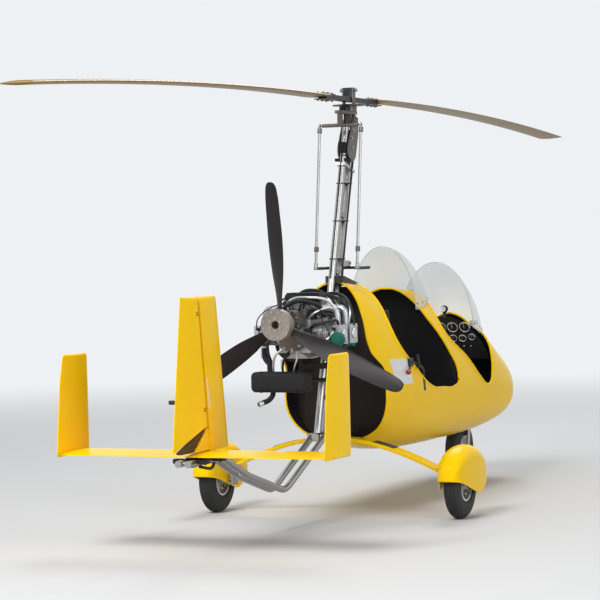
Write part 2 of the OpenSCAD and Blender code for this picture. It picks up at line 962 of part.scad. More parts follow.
module hub_bar() {
    bolt_z = rotor_z + teeter_rise;
    color(dark)
        difference() {
            union() {
                block([-blade_root - 60, -hub_bar_w / 2, rotor_z - hub_bar_t / 2],
                    [blade_root + 60, hub_bar_w / 2, rotor_z + hub_bar_t / 2]);
                block([-24, -hub_bar_w / 2, rotor_z], [24, hub_bar_w / 2, bolt_z + 16]);
            }
            pin_y(0, -60, 60, bolt_z, teeter_bolt_r + gap);
        }
}

// Height of a resting blade above the hub bar's middle, at a distance from the axis
function blade_lift(r) = blade_cone * r / 1000 - blade_droop * pow(r / 1000, 2);

module rotor_blades() {
    shape = foil(8, 1);
    steps = 10;
    first = blade_root + 60 + gap;
    rs = [for (i = [0 : steps]) first + (head_r - first) * i / steps];
    color(bronze)
        for (side = [1, -1])
            loft([
                for (r = rs)
                    [for (p = shape)
                        [side * r, side * (p[0] * -blade_chord - blade_chord * 0.3),
                            rotor_z + blade_lift(r) + p[1] * blade_thick]]
            ]);
}

// Control linkage

module yoke_block() {
    color(steel)
        union() {
            block([yoke_x - 13, -18, yoke_z - 13], [yoke_x + 13, 18, yoke_z + 13]);
            pin_y(yoke_x, -34, 34, yoke_z, 8);
            pin_x(yoke_x, yoke_x + 52, 0, yoke_z, 8);
        }
}

module control_yoke() {
    front = yoke_x + 36;
    arm_z = rod_foot[1];
    color(dark)
        difference() {
            union() {
                pin_x(yoke_x + 22, yoke_x + 50, 0, yoke_z, 15);
                block([front - 8, -12, arm_z], [front + 8, 12, yoke_z]);
                pin_y(front, -rod_y, rod_y, arm_z, 9);
                for (side = [-1, 1]) {
                    pin_x(rod_foot[0] + 14, front, side * rod_y, arm_z, 10);
                    translate([front, side * rod_y, arm_z])
                        sphere(r = 10.4);
                }
            }
            pin_x(yoke_x, yoke_x + 80, 0, yoke_z, 8 + gap);
            for (side = [-1, 1])
                pin_x(rod_foot[0] - 5, rod_foot[0] + 36, side * rod_y, arm_z, 5 + gap);
        }
}

module rod_joint(side) {
    color(steel)
        union() {
            block([rod_foot[0] - 6, side * rod_y - 6, rod_foot[1] - 6],
                [rod_foot[0] + 6, side * rod_y + 6, rod_foot[1] + 6]);
            pin_y(rod_foot[0], side * rod_y - 11, side * rod_y + 11, rod_foot[1], 5);
            pin_x(rod_foot[0], rod_foot[0] + 30, side * rod_y, rod_foot[1], 5);
        }
}

module rod_joint_left() {
    rod_joint(1);
}

module rod_joint_right() {
    rod_joint(-1);
}

module push_rod(side) {
    reach = norm(rod_top - rod_foot);
    lean = atan2(rod_top[0] - rod_foot[0], rod_top[1] - rod_foot[1]);
    color(steel)
        translate([rod_foot[0], side * rod_y, rod_foot[1]])
            rotate([0, lean, 0])
                difference() {
                    union() {
                        for (e = [-8.3, 8.3]) {
                            pin_y(0, e - 2, e + 2, 0, 10);
                            block([-8, e - 2, 0], [8, e + 2, 30]);
                        }
                        block([-8.5, -11, 24], [8.5, 11, 36]);
                        translate([0, 0, 30])
                            cylinder(h = reach - 40, r = rod_r);
                        pin_y(0, -4, 4, reach, 14);
                    }
                    pin_y(0, -20, 20, 0, 5 + gap);
                    pin_y(0, -10, 10, reach, 8 + gap);
                }
}

module push_rod_left() {
    push_rod(1);
}

module push_rod_right() {
    push_rod(-1);
}

// Propeller

module prop_hub() {
    color(alloy)
        difference() {
            union() {
                pin_x(prop_x - 34, -1090 - gap, 0, prop_z, 60);
                pin_x(prop_face_x, prop_x - 30, 0, prop_z, prop_disc_r);
            }
            pin_x(prop_face_x - 5, prop_x - 20, 0, prop_z, prop_bore_r);
        }
}

// Stations of a propeller blade: radius, chord, pitch angle and thickness
PROP = [
    [60.3, 46, 62, 30],
    [140, 78, 50, 24],
    [260, 112, 38, 18],
    [450, 126, 27, 13],
    [650, 110, 20, 9],
    [800, 82, 16, 6],
    [858, 40, 15, 4]
];

module prop_blades() {
    shape = foil(7, 1);
    color(dark)
        for (k = [0 : 2])
            translate([prop_x, 0, prop_z])
                rotate([-4 + 120 * k, 0, 0])
                    loft([
                        for (j = [len(PROP) - 1 : -1 : 0])
                            let (s = PROP[j])
                            let (r = s[0] * (s[0] > 61 ? prop_d / 1720 : 1), c = cos(s[2]), w = sin(s[2]))
                            [for (p = shape)
                                let (u = (p[0] + 0.4) * s[1], v = p[1] * s[3])
                                [u * w - v * c, u * c + v * w, r]]
                    ]);
}

pod_shell();
cockpit_floor();
firewall();
front_seat();
rear_seat();
front_windscreen();
rear_windscreen();
instrument_panel();
compass();
keel_frame();
mast();
mast_cover();
head_plates();
engine_mount();
engine_case();
gearbox();
cylinders_left();
cylinders_right();
intake();
silencer();
air_filters();
gear_bow();
axle_left();
axle_right();
spat_left();
spat_right();
stabiliser();
side_fin_left();
side_fin_right();
centre_fin();
rudder();
gimbal_block();
rotor_head();
teeter_tower();
hub_bar();
rotor_blades();
yoke_block();
control_yoke();
rod_joint_left();
rod_joint_right();
push_rod_left();
push_rod_right();
prop_hub();
prop_blades();
nose_fork();
nose_tyre();
nose_rim();
tyre_left();
rim_left();
tyre_right();
rim_right();
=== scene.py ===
"""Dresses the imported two-seat gyrocopter: smooth surfaces, fittings, finishes, light and camera.

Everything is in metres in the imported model's frame: +X forward, +Y to port, +Z up, the ground at 0.
"""
import json
import logging
import math
from dataclasses import dataclass, field
from enum import Enum

import bmesh
import bpy
import numpy as np
from mathutils import Matrix, Vector

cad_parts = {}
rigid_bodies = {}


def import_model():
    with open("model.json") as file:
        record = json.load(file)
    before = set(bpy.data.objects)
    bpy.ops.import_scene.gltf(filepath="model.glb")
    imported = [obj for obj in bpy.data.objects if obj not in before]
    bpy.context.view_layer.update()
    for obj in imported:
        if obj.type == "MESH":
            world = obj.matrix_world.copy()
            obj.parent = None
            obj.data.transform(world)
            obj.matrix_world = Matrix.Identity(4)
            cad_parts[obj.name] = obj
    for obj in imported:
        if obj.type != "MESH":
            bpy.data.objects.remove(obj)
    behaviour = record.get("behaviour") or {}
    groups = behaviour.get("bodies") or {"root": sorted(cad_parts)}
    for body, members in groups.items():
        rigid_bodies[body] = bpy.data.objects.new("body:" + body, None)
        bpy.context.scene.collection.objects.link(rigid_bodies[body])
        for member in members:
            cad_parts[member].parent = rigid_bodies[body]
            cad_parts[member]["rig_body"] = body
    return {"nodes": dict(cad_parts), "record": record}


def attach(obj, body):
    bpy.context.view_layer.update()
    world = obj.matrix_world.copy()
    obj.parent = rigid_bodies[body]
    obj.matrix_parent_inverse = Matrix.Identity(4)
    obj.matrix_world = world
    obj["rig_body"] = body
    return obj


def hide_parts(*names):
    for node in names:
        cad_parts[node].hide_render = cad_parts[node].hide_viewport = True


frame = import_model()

LOG = logging.getLogger("gyrocopter")
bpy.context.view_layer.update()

Colour = tuple[float, float, float]
DUST = (0.32, 0.28, 0.22, 1)
PLAIN_TURN = np.eye(3)


class Grain(Enum):
    """The kinds of surface that a finish can have."""

    PAINT = "paint"
    METAL = "metal"
    CAST = "cast"
    CRINKLE = "crinkle"
    WEAVE = "weave"
    MATT = "matt"


def fill_node(tree: bpy.types.NodeTree, node: bpy.types.Node, inputs: dict) -> None:
    """Sets a node's inputs, and links those for which a socket is given."""
    for key, value in inputs.items():
        if isinstance(value, bpy.types.NodeSocket):
            tree.links.new(value, node.inputs[key])
        else:
            node.inputs[key].default_value = value


def add_node(tree: bpy.types.NodeTree, kind: str, inputs: dict | None = None, **settings: str) -> bpy.types.Node:
    """A new shader node.

    Args:
        tree: the node tree.
        kind: the node's type, without the word ShaderNode.
        inputs: values or sockets by the input's name or number.
        settings: the node's own settings, such as its operation.

    Returns:
        The node.
    """
    node = tree.nodes.new("ShaderNode" + kind)
    for key, value in settings.items():
        setattr(node, key, value)
    fill_node(tree, node, inputs or {})
    return node


def add_math(tree: bpy.types.NodeTree, operation: str, first: bpy.types.NodeSocket,
             second: bpy.types.NodeSocket) -> bpy.types.NodeSocket:
    """The result of one operation on two values."""
    return add_node(tree, "Math", {0: first, 1: second}, operation=operation).outputs["Value"]


def add_noise(tree: bpy.types.NodeTree, vector: bpy.types.NodeSocket, scale: float,
              detail: float) -> bpy.types.NodeSocket:
    """The value of a noise with a number of blobs a metre and of finer layers."""
    return add_node(tree, "TexNoise", {"Vector": vector, "Scale": scale, "Detail": detail}).outputs["Fac"]


@dataclass(frozen=True)
class Finish:
    """One finish of the aircraft, built as a node material on Object coordinates."""

    name: str
    colour: Colour
    roughness: float
    metallic: float = 0.0
    specular: float = 0.5
    alpha: float = 1.0
    grain: Grain = Grain.PAINT
    grain_scale: float = 60.0
    depth: float = 0.0004
    spread: float = 0.06
    dust: float = 0.0
    stretch: tuple[float, float, float] = (1.0, 1.0, 1.0)

    def build(self) -> bpy.types.Material:
        """Makes the material: tone and gloss vary with soft noise, and the grain is a fine bump.

        Returns:
            The material, made once and then reused by name.
        """
        found = bpy.data.materials.get(self.name)
        if found:
            return found
        material = bpy.data.materials.new(self.name)
        material.use_nodes = True
        tree = material.node_tree
        place = add_node(tree, "TexCoord").outputs["Object"]
        grained = add_node(tree, "Mapping", {"Vector": place, "Scale": self.stretch}).outputs["Vector"]
        broad = add_noise(tree, grained, self.grain_scale * 0.08, 4.0)
        gloss = add_node(tree, "MapRange", {"Value": broad, "To Min": max(0.02, self.roughness * 0.8),
                                            "To Max": min(1.0, self.roughness * 1.25)})
        bump = add_node(tree, "Bump", {"Height": self._height(tree, grained), "Distance": self.depth, "Strength": 0.6})
        fill_node(tree, tree.nodes["Principled BSDF"], {
            "Base Color": self._tone(tree, broad, place), "Roughness": gloss.outputs["Result"],
            "Normal": bump.outputs["Normal"], "Metallic": self.metallic, "Specular IOR Level": self.specular,
            "Alpha": self.alpha})
        return material

    def _height(self, tree: bpy.types.NodeTree, vector: bpy.types.NodeSocket) -> bpy.types.NodeSocket:
        """The height pattern of the grain: two crossed waves, cells or noise.

        Args:
            tree: the material's nodes.
            vector: where the pattern reads its place.

        Returns:
            A socket that gives the height.
        """
        if self.grain is Grain.WEAVE:
            threads = [add_node(tree, "TexWave", {"Vector": vector, "Scale": self.grain_scale, "Distortion": 0.4},
                                bands_direction=way).outputs["Fac"] for way in ("X", "Z")]
            return add_math(tree, "MULTIPLY", *threads)
        if self.grain in (Grain.CAST, Grain.CRINKLE):
            return add_node(tree, "TexVoronoi", {"Vector": vector, "Scale": self.grain_scale * 4}).outputs["Distance"]
        return add_noise(tree, vector, self.grain_scale * 3, 2.0)

    def _tone(self, tree: bpy.types.NodeTree, broad: bpy.types.NodeSocket,
              place: bpy.types.NodeSocket) -> bpy.types.NodeSocket:
        """The base colour: two close tones by the broad noise, and dust near the ground.

        Args:
            tree: the material's nodes.
            broad: the broad noise.
            place: Object coordinates.

        Returns:
            A socket that gives the colour.
        """
        ramp = add_node(tree, "ValToRGB", {"Fac": broad})
        for element, position, sign in zip(ramp.color_ramp.elements, (0.3, 0.7), (-1, 1)):
            element.position = position
            element.color = (*[min(1.0, max(0.0, c * (1 + sign * self.spread))) for c in self.colour], 1)
        if not self.dust:
            return ramp.outputs["Color"]
        height = add_node(tree, "SeparateXYZ", {"Vector": place}).outputs["Z"]
        low = add_node(tree, "MapRange", {"Value": height, "From Min": 0.55, "From Max": 0.0, "To Max": self.dust})
        amount = add_math(tree, "MULTIPLY", low.outputs["Result"], broad)
        mix = add_node(tree, "Mix", {"Factor": amount, "A": ramp.outputs["Color"], "B": DUST}, data_type="RGBA")
        return mix.outputs["Result"]


YELLOW = Finish("yellow_gloss", (0.93, 0.585, 0.0), 0.24, specular=0.07, depth=0.00002, spread=0.02, dust=0.06)
LINER = Finish("black_liner", (0.011, 0.01, 0.011), 0.8, specular=0.2, grain=Grain.MATT, depth=0.0006, spread=0.3)
BOARD = Finish("dark_board", (0.02, 0.0135, 0.0095), 0.6, specular=0.3, depth=0.0006, spread=0.35)
CLOTH = Finish("seat_cloth", (0.014, 0.014, 0.016), 0.85, specular=0.25, grain=Grain.WEAVE, grain_scale=110,
               depth=0.0012, spread=0.25)
SCREEN = Finish("clear_screen", (0.55, 0.58, 0.56), 0.05, specular=0.6, alpha=0.06, depth=0.0, spread=0.05)
SCREEN_EDGE = Finish("screen_edge", (0.5, 0.53, 0.52), 0.15, alpha=0.4, depth=0.0, spread=0.05)
STAINLESS = Finish("brushed_stainless", (0.4, 0.395, 0.385), 0.34, metallic=1.0, grain=Grain.METAL, depth=0.00008,
                   stretch=(1, 1, 6))
ENAMEL = Finish("black_enamel", (0.012, 0.012, 0.013), 0.42, specular=0.35, depth=0.0003, spread=0.25)
CRINKLE = Finish("black_crinkle", (0.011, 0.01, 0.011), 0.7, specular=0.3, grain=Grain.CRINKLE, depth=0.0008,
                 spread=0.3)
CAST = Finish("cast_alloy", (0.085, 0.078, 0.07), 0.5, metallic=0.7, grain=Grain.CAST, depth=0.0006, spread=0.5)
MACHINED = Finish("machined_alloy", (0.36, 0.35, 0.335), 0.38, metallic=1.0, grain=Grain.METAL, depth=0.0001)
DISC = Finish("dulled_alloy", (0.27, 0.24, 0.205), 0.5, metallic=0.75, grain=Grain.CAST, depth=0.0002, spread=0.25)
PLATE = Finish("weathered_plate", (0.15, 0.135, 0.12), 0.5, metallic=0.7, grain=Grain.CAST, depth=0.0003,
               spread=0.3)
BRONZE = Finish("bronze_blade", (0.2, 0.125, 0.028), 0.38, metallic=0.6, grain=Grain.METAL, depth=0.00006,
                spread=0.1, stretch=(0.3, 1, 1))
TEAL = Finish("teal_cloth", (0.008, 0.14, 0.1), 0.6, specular=0.2, depth=0.0006, spread=0.3)
CHARCOAL = Finish("charcoal_laminate", (0.013, 0.0095, 0.0105), 0.42, specular=0.25, grain=Grain.METAL, depth=0.0001,
                  spread=0.25)
RUBBER = Finish("tyre_rubber", (0.014, 0.014, 0.014), 0.8, specular=0.25, grain=Grain.MATT, depth=0.0005, spread=0.3,
                dust=0.4)
HOSE = Finish("black_hose", (0.012, 0.012, 0.013), 0.55, specular=0.4, depth=0.0002, spread=0.2)
BRAID = Finish("braided_hose", (0.38, 0.37, 0.35), 0.4, metallic=0.7, grain=Grain.WEAVE, grain_scale=300, depth=0.0005,
               spread=0.2)
PALE = Finish("pale_plastic", (0.7, 0.71, 0.72), 0.4, depth=0.0001, spread=0.04)
RED = Finish("red_plastic", (0.3, 0.012, 0.01), 0.35, depth=0.0001, spread=0.05)
AMBER = Finish("amber_paint", (0.85, 0.42, 0.02), 0.4, depth=0.0001, spread=0.08)
# Painted shade: a dark brown colour for the sheet that stands for the shadowed notch under the rudder's foot.
PAINTED_SHADE = Finish("painted_shade_brown", (0.075, 0.042, 0.012), 0.6, specular=0.2, depth=0.0002, spread=0.3)

SLOT_FINISH = {
    "yellow_shell": YELLOW, "dark_trim": LINER, "bulkhead": BOARD, "seat_cover": CLOTH,
    "clear_screen": SCREEN, "stainless": STAINLESS, "dark_steel": ENAMEL, "dark_alloy": CRINKLE,
    "cast_alloy": CAST, "machined_alloy": MACHINED, "bronze_alloy": BRONZE, "green_paint": TEAL,
    "prop_composite": CHARCOAL, "tyre_rubber": RUBBER,
}

SLOTS = {row["node"]: row["material_slot"] for row in frame["record"]["subparts"]}


@dataclass
class Patch:
    """Points and faces of a surface before it becomes a mesh."""

    points: np.ndarray
    faces: list

    def moved(self, turn: np.ndarray, shift: np.ndarray) -> "Patch":
        """The patch after a turn (a 3x3 matrix) and a shift."""
        return Patch(self.points @ np.asarray(turn, float).T + np.asarray(shift, float), self.faces)


def joined(patches: list[Patch]) -> Patch:
    """One patch that holds several."""
    points, faces, start = [], [], 0
    for patch in patches:
        points.append(patch.points)
        faces += [tuple(int(i) + start for i in face) for face in patch.faces]
        start += len(patch.points)
    return Patch(np.concatenate(points), faces)


def grid_faces(rows: int, columns: int, closed: bool) -> np.ndarray:
    """Quads of a grid of points, row after row.

    Args:
        rows: number of rows.
        columns: number of points in a row.
        closed: whether the last column joins the first.

    Returns:
        An array of four point numbers a face.
    """
    across = columns if closed else columns - 1
    j, i = np.meshgrid(np.arange(rows - 1), np.arange(across), indexing="ij")
    a = j * columns + i
    b = j * columns + (i + 1) % columns
    return np.stack([a, b, b + columns, a + columns], axis=-1).reshape(-1, 4)


def skin(grid: np.ndarray, caps: bool = True) -> Patch:
    """A closed skin over a grid of rings.

    Args:
        grid: an array of rows, columns and 3, each row a closed ring.
        caps: whether the first and last ring are filled.

    Returns:
        The patch.
    """
    rows, columns = grid.shape[:2]
    faces = grid_faces(rows, columns, True).tolist()
    if caps:
        faces.append(list(range(columns - 1, -1, -1)))
        faces.append([(rows - 1) * columns + i for i in range(columns)])
    return Patch(grid.reshape(-1, 3), faces)


def flowing(points: list, per: int = 8, closed: bool = False) -> np.ndarray:
    """A smooth curve through points.

    Each stretch is the cubic whose end slopes are the means of the neighbouring chords, each divided by
    its own length, so close points make tight bends and far points make long easy ones.

    Args:
        points: the points that it passes, in 2-D or 3-D.
        per: number of steps a stretch.
        closed: whether it comes back to its first point.

    Returns:
        The curve's points.
    """
    p = np.asarray(points, float)
    if closed:
        p = np.concatenate([p[-1:], p, p[:2]])
    else:
        p = np.concatenate([2 * p[:1] - p[1:2], p, 2 * p[-1:] - p[-2:-1]])
    chord = np.maximum(np.linalg.norm(np.diff(p, axis=0), axis=1), 1e-9)[:, None]
    rate = np.diff(p, axis=0) / chord
    slope = (rate[:-1] * chord[1:] + rate[1:] * chord[:-1]) / (chord[:-1] + chord[1:])
    a, b, m0, m1, h = p[1:-2], p[2:-1], slope[:-1], slope[1:], chord[1:-1]
    s = np.linspace(0, 1, per, endpoint=False)[None, :, None]
    curve = ((2 * s ** 3 - 3 * s ** 2 + 1) * a[:, None] + (s ** 3 - 2 * s ** 2 + s) * (h * m0)[:, None]
             + (3 * s ** 2 - 2 * s ** 3) * b[:, None] + (s ** 3 - s ** 2) * (h * m1)[:, None])
    curve = curve.reshape(-1, p.shape[1])
    return curve if closed else np.concatenate([curve, p[-2:-1]])


def across(direction: np.ndarray) -> tuple[np.ndarray, np.ndarray]:
    """Two directions that are square to one and to each other."""
    d = np.asarray(direction, float)
    d = d / np.linalg.norm(d)
    helper = np.array([0.0, 0.0, 1.0]) if abs(d[2]) < 0.9 else np.array([1.0, 0.0, 0.0])
    u = np.cross(helper, d)
    u /= np.linalg.norm(u)
    return u, np.cross(d, u)


def tube(points: list, radius: float, around: int = 12, per: int = 6, closed: bool = False,
         shape: np.ndarray | None = None) -> Patch:
    """A section carried along a smooth path.

    Every ring stands square to the path's tangent. Its first direction is the path's flattest direction
    with its part along the tangent taken out.

    Args:
        points: the points that the path passes.
        radius: radius of a round section, or the scale of a given one.
        around: number of points round the section.
        per: number of rings between two points.
        closed: whether the path comes back to its start.
        shape: an array of section points, instead of a circle.

    Returns:
        The patch.
    """
    path = flowing(points, per, closed)
    tangent = np.gradient(path, axis=0)
    if closed:
        tangent = np.roll(path, -1, axis=0) - np.roll(path, 1, axis=0)
    tangent /= np.maximum(np.linalg.norm(tangent, axis=1), 1e-9)[:, None]
    spread = np.linalg.svd(path - path.mean(axis=0))[2]
    flat = spread[2] if np.linalg.matrix_rank(path - path.mean(axis=0), tol=1e-6) > 1 else across(tangent[0])[0]
    first = flat - (tangent @ flat)[:, None] * tangent
    first /= np.maximum(np.linalg.norm(first, axis=1), 1e-9)[:, None]
    second = np.cross(tangent, first)
    turn = np.linspace(0, 2 * np.pi, around, endpoint=False)
    section = np.stack([np.cos(turn), np.sin(turn)], axis=1) if shape is None else np.asarray(shape, float)
    grid = path[:, None] + radius * (section[None, :, :1] * first[:, None] + section[None, :, 1:] * second[:, None])
    if closed:
        grid = np.concatenate([grid, grid[:1]])
    return skin(grid, caps=not closed)


def lathe(profile: list, origin: tuple, axis: tuple, around: int = 48) -> Patch:
    """A profile turned about an axis.

    Args:
        profile: pairs of the distance along the axis and the radius.
        origin: where the axis starts.
        axis: the axis's direction.
        around: number of points round it.

    Returns:
        The patch, whose ends are closed where the radius is 0.
    """
    d = np.asarray(axis, float) / np.linalg.norm(axis)
    u, v = across(d)
    rows = np.asarray(profile, float)
    turn = np.linspace(0, 2 * np.pi, around, endpoint=False)
    ring = np.cos(turn)[:, None] * u + np.sin(turn)[:, None] * v
    grid = np.asarray(origin, float) + rows[:, None, :1] * d + rows[:, None, 1:] * ring[None]
    return skin(grid, caps=False)


def pillow(centre: tuple, half: tuple, radius: float, steps: int = 4) -> Patch:
    """A box whose edges and corners are rounded: eight parts of one ball, moved out to its corners.

    Args:
        centre: the box's middle.
        half: its half sizes.
        radius: radius of its edges.
        steps: steps in a quarter turn.

    Returns:
        The patch.
    """
    core = np.asarray(half, float) - radius
    quarter = np.linspace(0, np.pi / 2, steps + 1)
    turn = np.concatenate([quarter + k * np.pi / 2 for k in range(4)])
    cx = np.repeat([1, -1, -1, 1], steps + 1) * core[0]
    cy = np.repeat([1, 1, -1, -1], steps + 1) * core[1]
    lift = np.concatenate([-quarter[::-1], quarter])
    cz = np.repeat([-1, 1], steps + 1) * core[2]
    x = cx + radius * np.cos(lift)[:, None] * np.cos(turn)
    y = cy + radius * np.cos(lift)[:, None] * np.sin(turn)
    z = np.broadcast_to((cz + radius * np.sin(lift))[:, None], x.shape)
    return skin(np.stack([x, y, z], axis=-1) + np.asarray(centre, float))

def bolt(place: tuple, axis: tuple, size: float = 0.006, height: float = 0.005) -> Patch:
    """A washer and a six-sided head, turned from one profile each."""
    washer = lathe([(0, 0), (0, size * 1.45), (0.0012, size * 1.45), (0.0012, 0)], place, axis, 16)
    profile = [(0.0012, 0), (0.0012, size), (height * 0.85, size), (height, size * 0.8), (height, 0)]
    return joined([washer, lathe(profile, place, axis, 6)])


def bolt_ring(centre: tuple, axis: tuple, radius: float, count: int, first_deg: float, size: float,
              height: float) -> list[Patch]:
    """Bolts at even steps round a circle that is square to X, Y or Z.

    Args:
        centre: the circle's middle.
        axis: the way the heads point, along one of the three axes.
        radius: the circle's radius.
        count: number of bolts.
        first_deg: the first bolt's angle.
        size: radius of a head.
        height: height of a head.

    Returns:
        One patch a bolt.
    """
    flat = [k for k in range(3) if not axis[k]]
    angle = np.radians(first_deg + 360 / count * np.arange(count))
    spots = np.tile(np.asarray(centre, float), (count, 1))
    spots[:, flat] += radius * np.stack([np.cos(angle), np.sin(angle)], axis=1)
    return [bolt(tuple(spot), axis, size, height) for spot in spots]


def spring(start: tuple, end: tuple, radius: float = 0.007, wire: float = 0.0013, turns: int = 12) -> Patch:
    """A coil spring: a ring of wire whose middle winds round the straight line between two points."""
    a, b = np.asarray(start, float), np.asarray(end, float)
    u, v = across(b - a)
    t = np.linspace(0, 1, turns * 8)
    w = 2 * np.pi * turns * t
    out = np.cos(w)[:, None] * u + np.sin(w)[:, None] * v
    path = a + t[:, None] * (b - a) + radius * out
    up = (b - a) / np.linalg.norm(b - a)
    turn = np.linspace(0, 2 * np.pi, 6, endpoint=False)
    grid = path[:, None] + wire * (np.cos(turn)[None, :, None] * out[:, None] + np.sin(turn)[None, :, None] * up)
    return skin(grid)


def closed_mesh(name: str, patch: Patch, merge: float = 0.0) -> bpy.types.Mesh:
    """A mesh of a patch, with its normals outward.

    Args:
        name: the mesh's name.
        patch: its points and faces.
        merge: points closer than this become one.

    Returns:
        The mesh.
    """
    mesh = bpy.data.meshes.new(name)
    mesh.from_pydata(patch.points.tolist(), [], [list(map(int, face)) for face in patch.faces])
    work = bmesh.new()
    work.from_mesh(mesh)
    if merge:
        bmesh.ops.remove_doubles(work, verts=work.verts, dist=merge)
    bmesh.ops.recalc_face_normals(work, faces=work.faces)
    work.to_mesh(mesh)
    work.free()
    return mesh


def smoothed(mesh: bpy.types.Mesh, sharp_deg: float) -> None:
    """Makes a mesh smooth except at the edges that are sharper than an angle."""
    mesh.polygons.foreach_set("use_smooth", np.ones(len(mesh.polygons), bool))
    mesh.set_sharp_from_angle(angle=math.radians(sharp_deg))


def linked(name: str, data: bpy.types.ID) -> bpy.types.Object:
    """A new object in the scene that shows a mesh, a lamp or a camera."""
    thing = bpy.data.objects.new(name, data)
    bpy.context.scene.collection.objects.link(thing)
    return thing


def add_piece(name: str, patch: Patch | list[Patch], finish: Finish, on: str, stands: bool = False,
              smooth_deg: float = 40.0) -> bpy.types.Object:
    """Makes a mesh object, smooth except at sharp edges, that moves with a CAD node.

    Args:
        name: the piece's name.
        patch: its points and faces, in one patch or several.
        finish: its finish.
        on: the CAD node that carries it.
        stands: whether it stands for that node.
        smooth_deg: edges sharper than this stay sharp.

    Returns:
        The new object.
    """
    whole = joined(patch) if isinstance(patch, list) else patch
    return place_mesh(name, closed_mesh(name, whole, 1e-6), [finish], on, smooth_deg, stands)


def place_mesh(name: str, mesh: bpy.types.Mesh, finishes: list[Finish], on: str, smooth_deg: float,
               stands: bool = False) -> bpy.types.Object:
    """Links a mesh as a piece of the aircraft.

    Args:
        name: the piece's name.
        mesh: its mesh.
        finishes: its finishes, in the order of the faces' material numbers.
        on: the CAD node that carries it.
        smooth_deg: edges sharper than this stay sharp.
        stands: whether it stands for that node.

    Returns:
        The new object.
    """
    smoothed(mesh, smooth_deg)
    mesh.materials.clear()
    for finish in finishes:
        mesh.materials.append(finish.build())
    piece = linked(name, mesh)
    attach(piece, frame["nodes"][on]["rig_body"])
    if stands:
        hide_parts(on)
    LOG.info("built %s, %d faces", name, len(mesh.polygons))
    return piece


def refined(node: str, finish: Finish, edge: float = 0.0012, sharp_deg: float = 28.0) -> bpy.types.Object:
    """A copy of a CAD node with merged points, smooth round faces and small rounded edges.

    Args:
        node: the CAD node that the copy stands for.
        finish: its finish.
        edge: width of the rounded edges in metres.
        sharp_deg: edges sharper than this are rounded.

    Returns:
        The copy.
    """
    source = frame["nodes"][node]
    mesh = source.data.copy()
    work = bmesh.new()
    work.from_mesh(mesh)
    bmesh.ops.remove_doubles(work, verts=work.verts, dist=2e-5)
    bmesh.ops.dissolve_limit(work, angle_limit=math.radians(0.5), verts=work.verts, edges=work.edges)
    work.to_mesh(mesh)
    work.free()
    piece = place_mesh(node + "_dressed", mesh, [finish], node, sharp_deg, stands=True)
    if edge:
        bevel = piece.modifiers.new("rounded_edges", "BEVEL")
        bevel.width = edge
        bevel.segments = 2
        bevel.limit_method = "ANGLE"
        bevel.angle_limit = math.radians(sharp_deg)
        bevel.harden_normals = True
    return piece


def carved(piece: bpy.types.Object, cutters: list[Patch], sharp_deg: float = 30.0) -> None:
    """Cuts closed patches out of a piece, and keeps the result as the piece's mesh.

    Args:
        piece: the piece, a closed shell.
        cutters: what is taken out of it.
        sharp_deg: edges sharper than this stay sharp.
    """
    for number, cutter in enumerate(cutters):
        tool = linked(f"cutter_{number}", closed_mesh(f"cutter_{number}", cutter))
        cut = piece.modifiers.new("cut", "BOOLEAN")
        cut.operation = "DIFFERENCE"
        cut.solver = "EXACT"
        cut.object = tool
        bpy.context.view_layer.update()
        result = bpy.data.meshes.new_from_object(piece.evaluated_get(bpy.context.evaluated_depsgraph_get()))
        piece.modifiers.clear()
        piece.data = result
        bpy.data.objects.remove(tool)
    smoothed(piece.data, sharp_deg)


def side_prism(outline: np.ndarray, half: float) -> Patch:
    """A prism across the aircraft from an outline in the X-Z plane."""
    rings = [np.stack([outline[:, 0], np.full(len(outline), y), outline[:, 1]], axis=1) for y in (-half, half)]
    return skin(np.stack(rings))


def turned(angle_deg: float, axis: str) -> np.ndarray:
    """The 3x3 matrix of a turn about X, Y or Z."""
    return np.array(Matrix.Rotation(math.radians(angle_deg), 3, axis))


def in_metres(*rows: tuple) -> np.ndarray:
    """Rows of millimetres as an array in metres."""
    return np.array(rows, float) / 1000


def thick_sheet(name: str, grid: np.ndarray, wall: float, finish: Finish, on: str, stands: bool = False,
                offset: float = -1.0) -> None:
    """A curved sheet over a grid of points, with an even wall.

    Args:
        name: the piece's name.
        grid: an array of rows, columns and 3.
        wall: the sheet's thickness.
        finish: its finish.
        on: the CAD node that carries it.
        stands: whether it stands for that node.
        offset: the side of the grid on which the wall lies.
    """
    faces = grid_faces(*grid.shape[:2], False).tolist()
    sheet = add_piece(name, Patch(grid.reshape(-1, 3), faces), finish, on, stands, smooth_deg=60)
    body = sheet.modifiers.new("sheet_wall", "SOLIDIFY")
    body.thickness = wall
    body.offset = offset


def ribbon(path: list, section: np.ndarray, up: np.ndarray | None = None) -> Patch:
    """A section carried along a path, its width across the aircraft.

    Args:
        path: the points that it passes.
        section: rows of the place across and the height over the path.
        up: the side to which the height points.

    Returns:
        The patch.
    """
    line = flowing(path, 8)
    side = np.array([0.0, 1.0, 0.0])
    rise = np.cross(np.gradient(line, axis=0), side)
    rise /= np.linalg.norm(rise, axis=1)[:, None]
    if up is not None:
        rise *= np.where(rise @ up < 0, -1, 1)[:, None]
    return skin(line[:, None] + section[None, :, :1] * side + section[None, :, 1:] * rise[:, None])


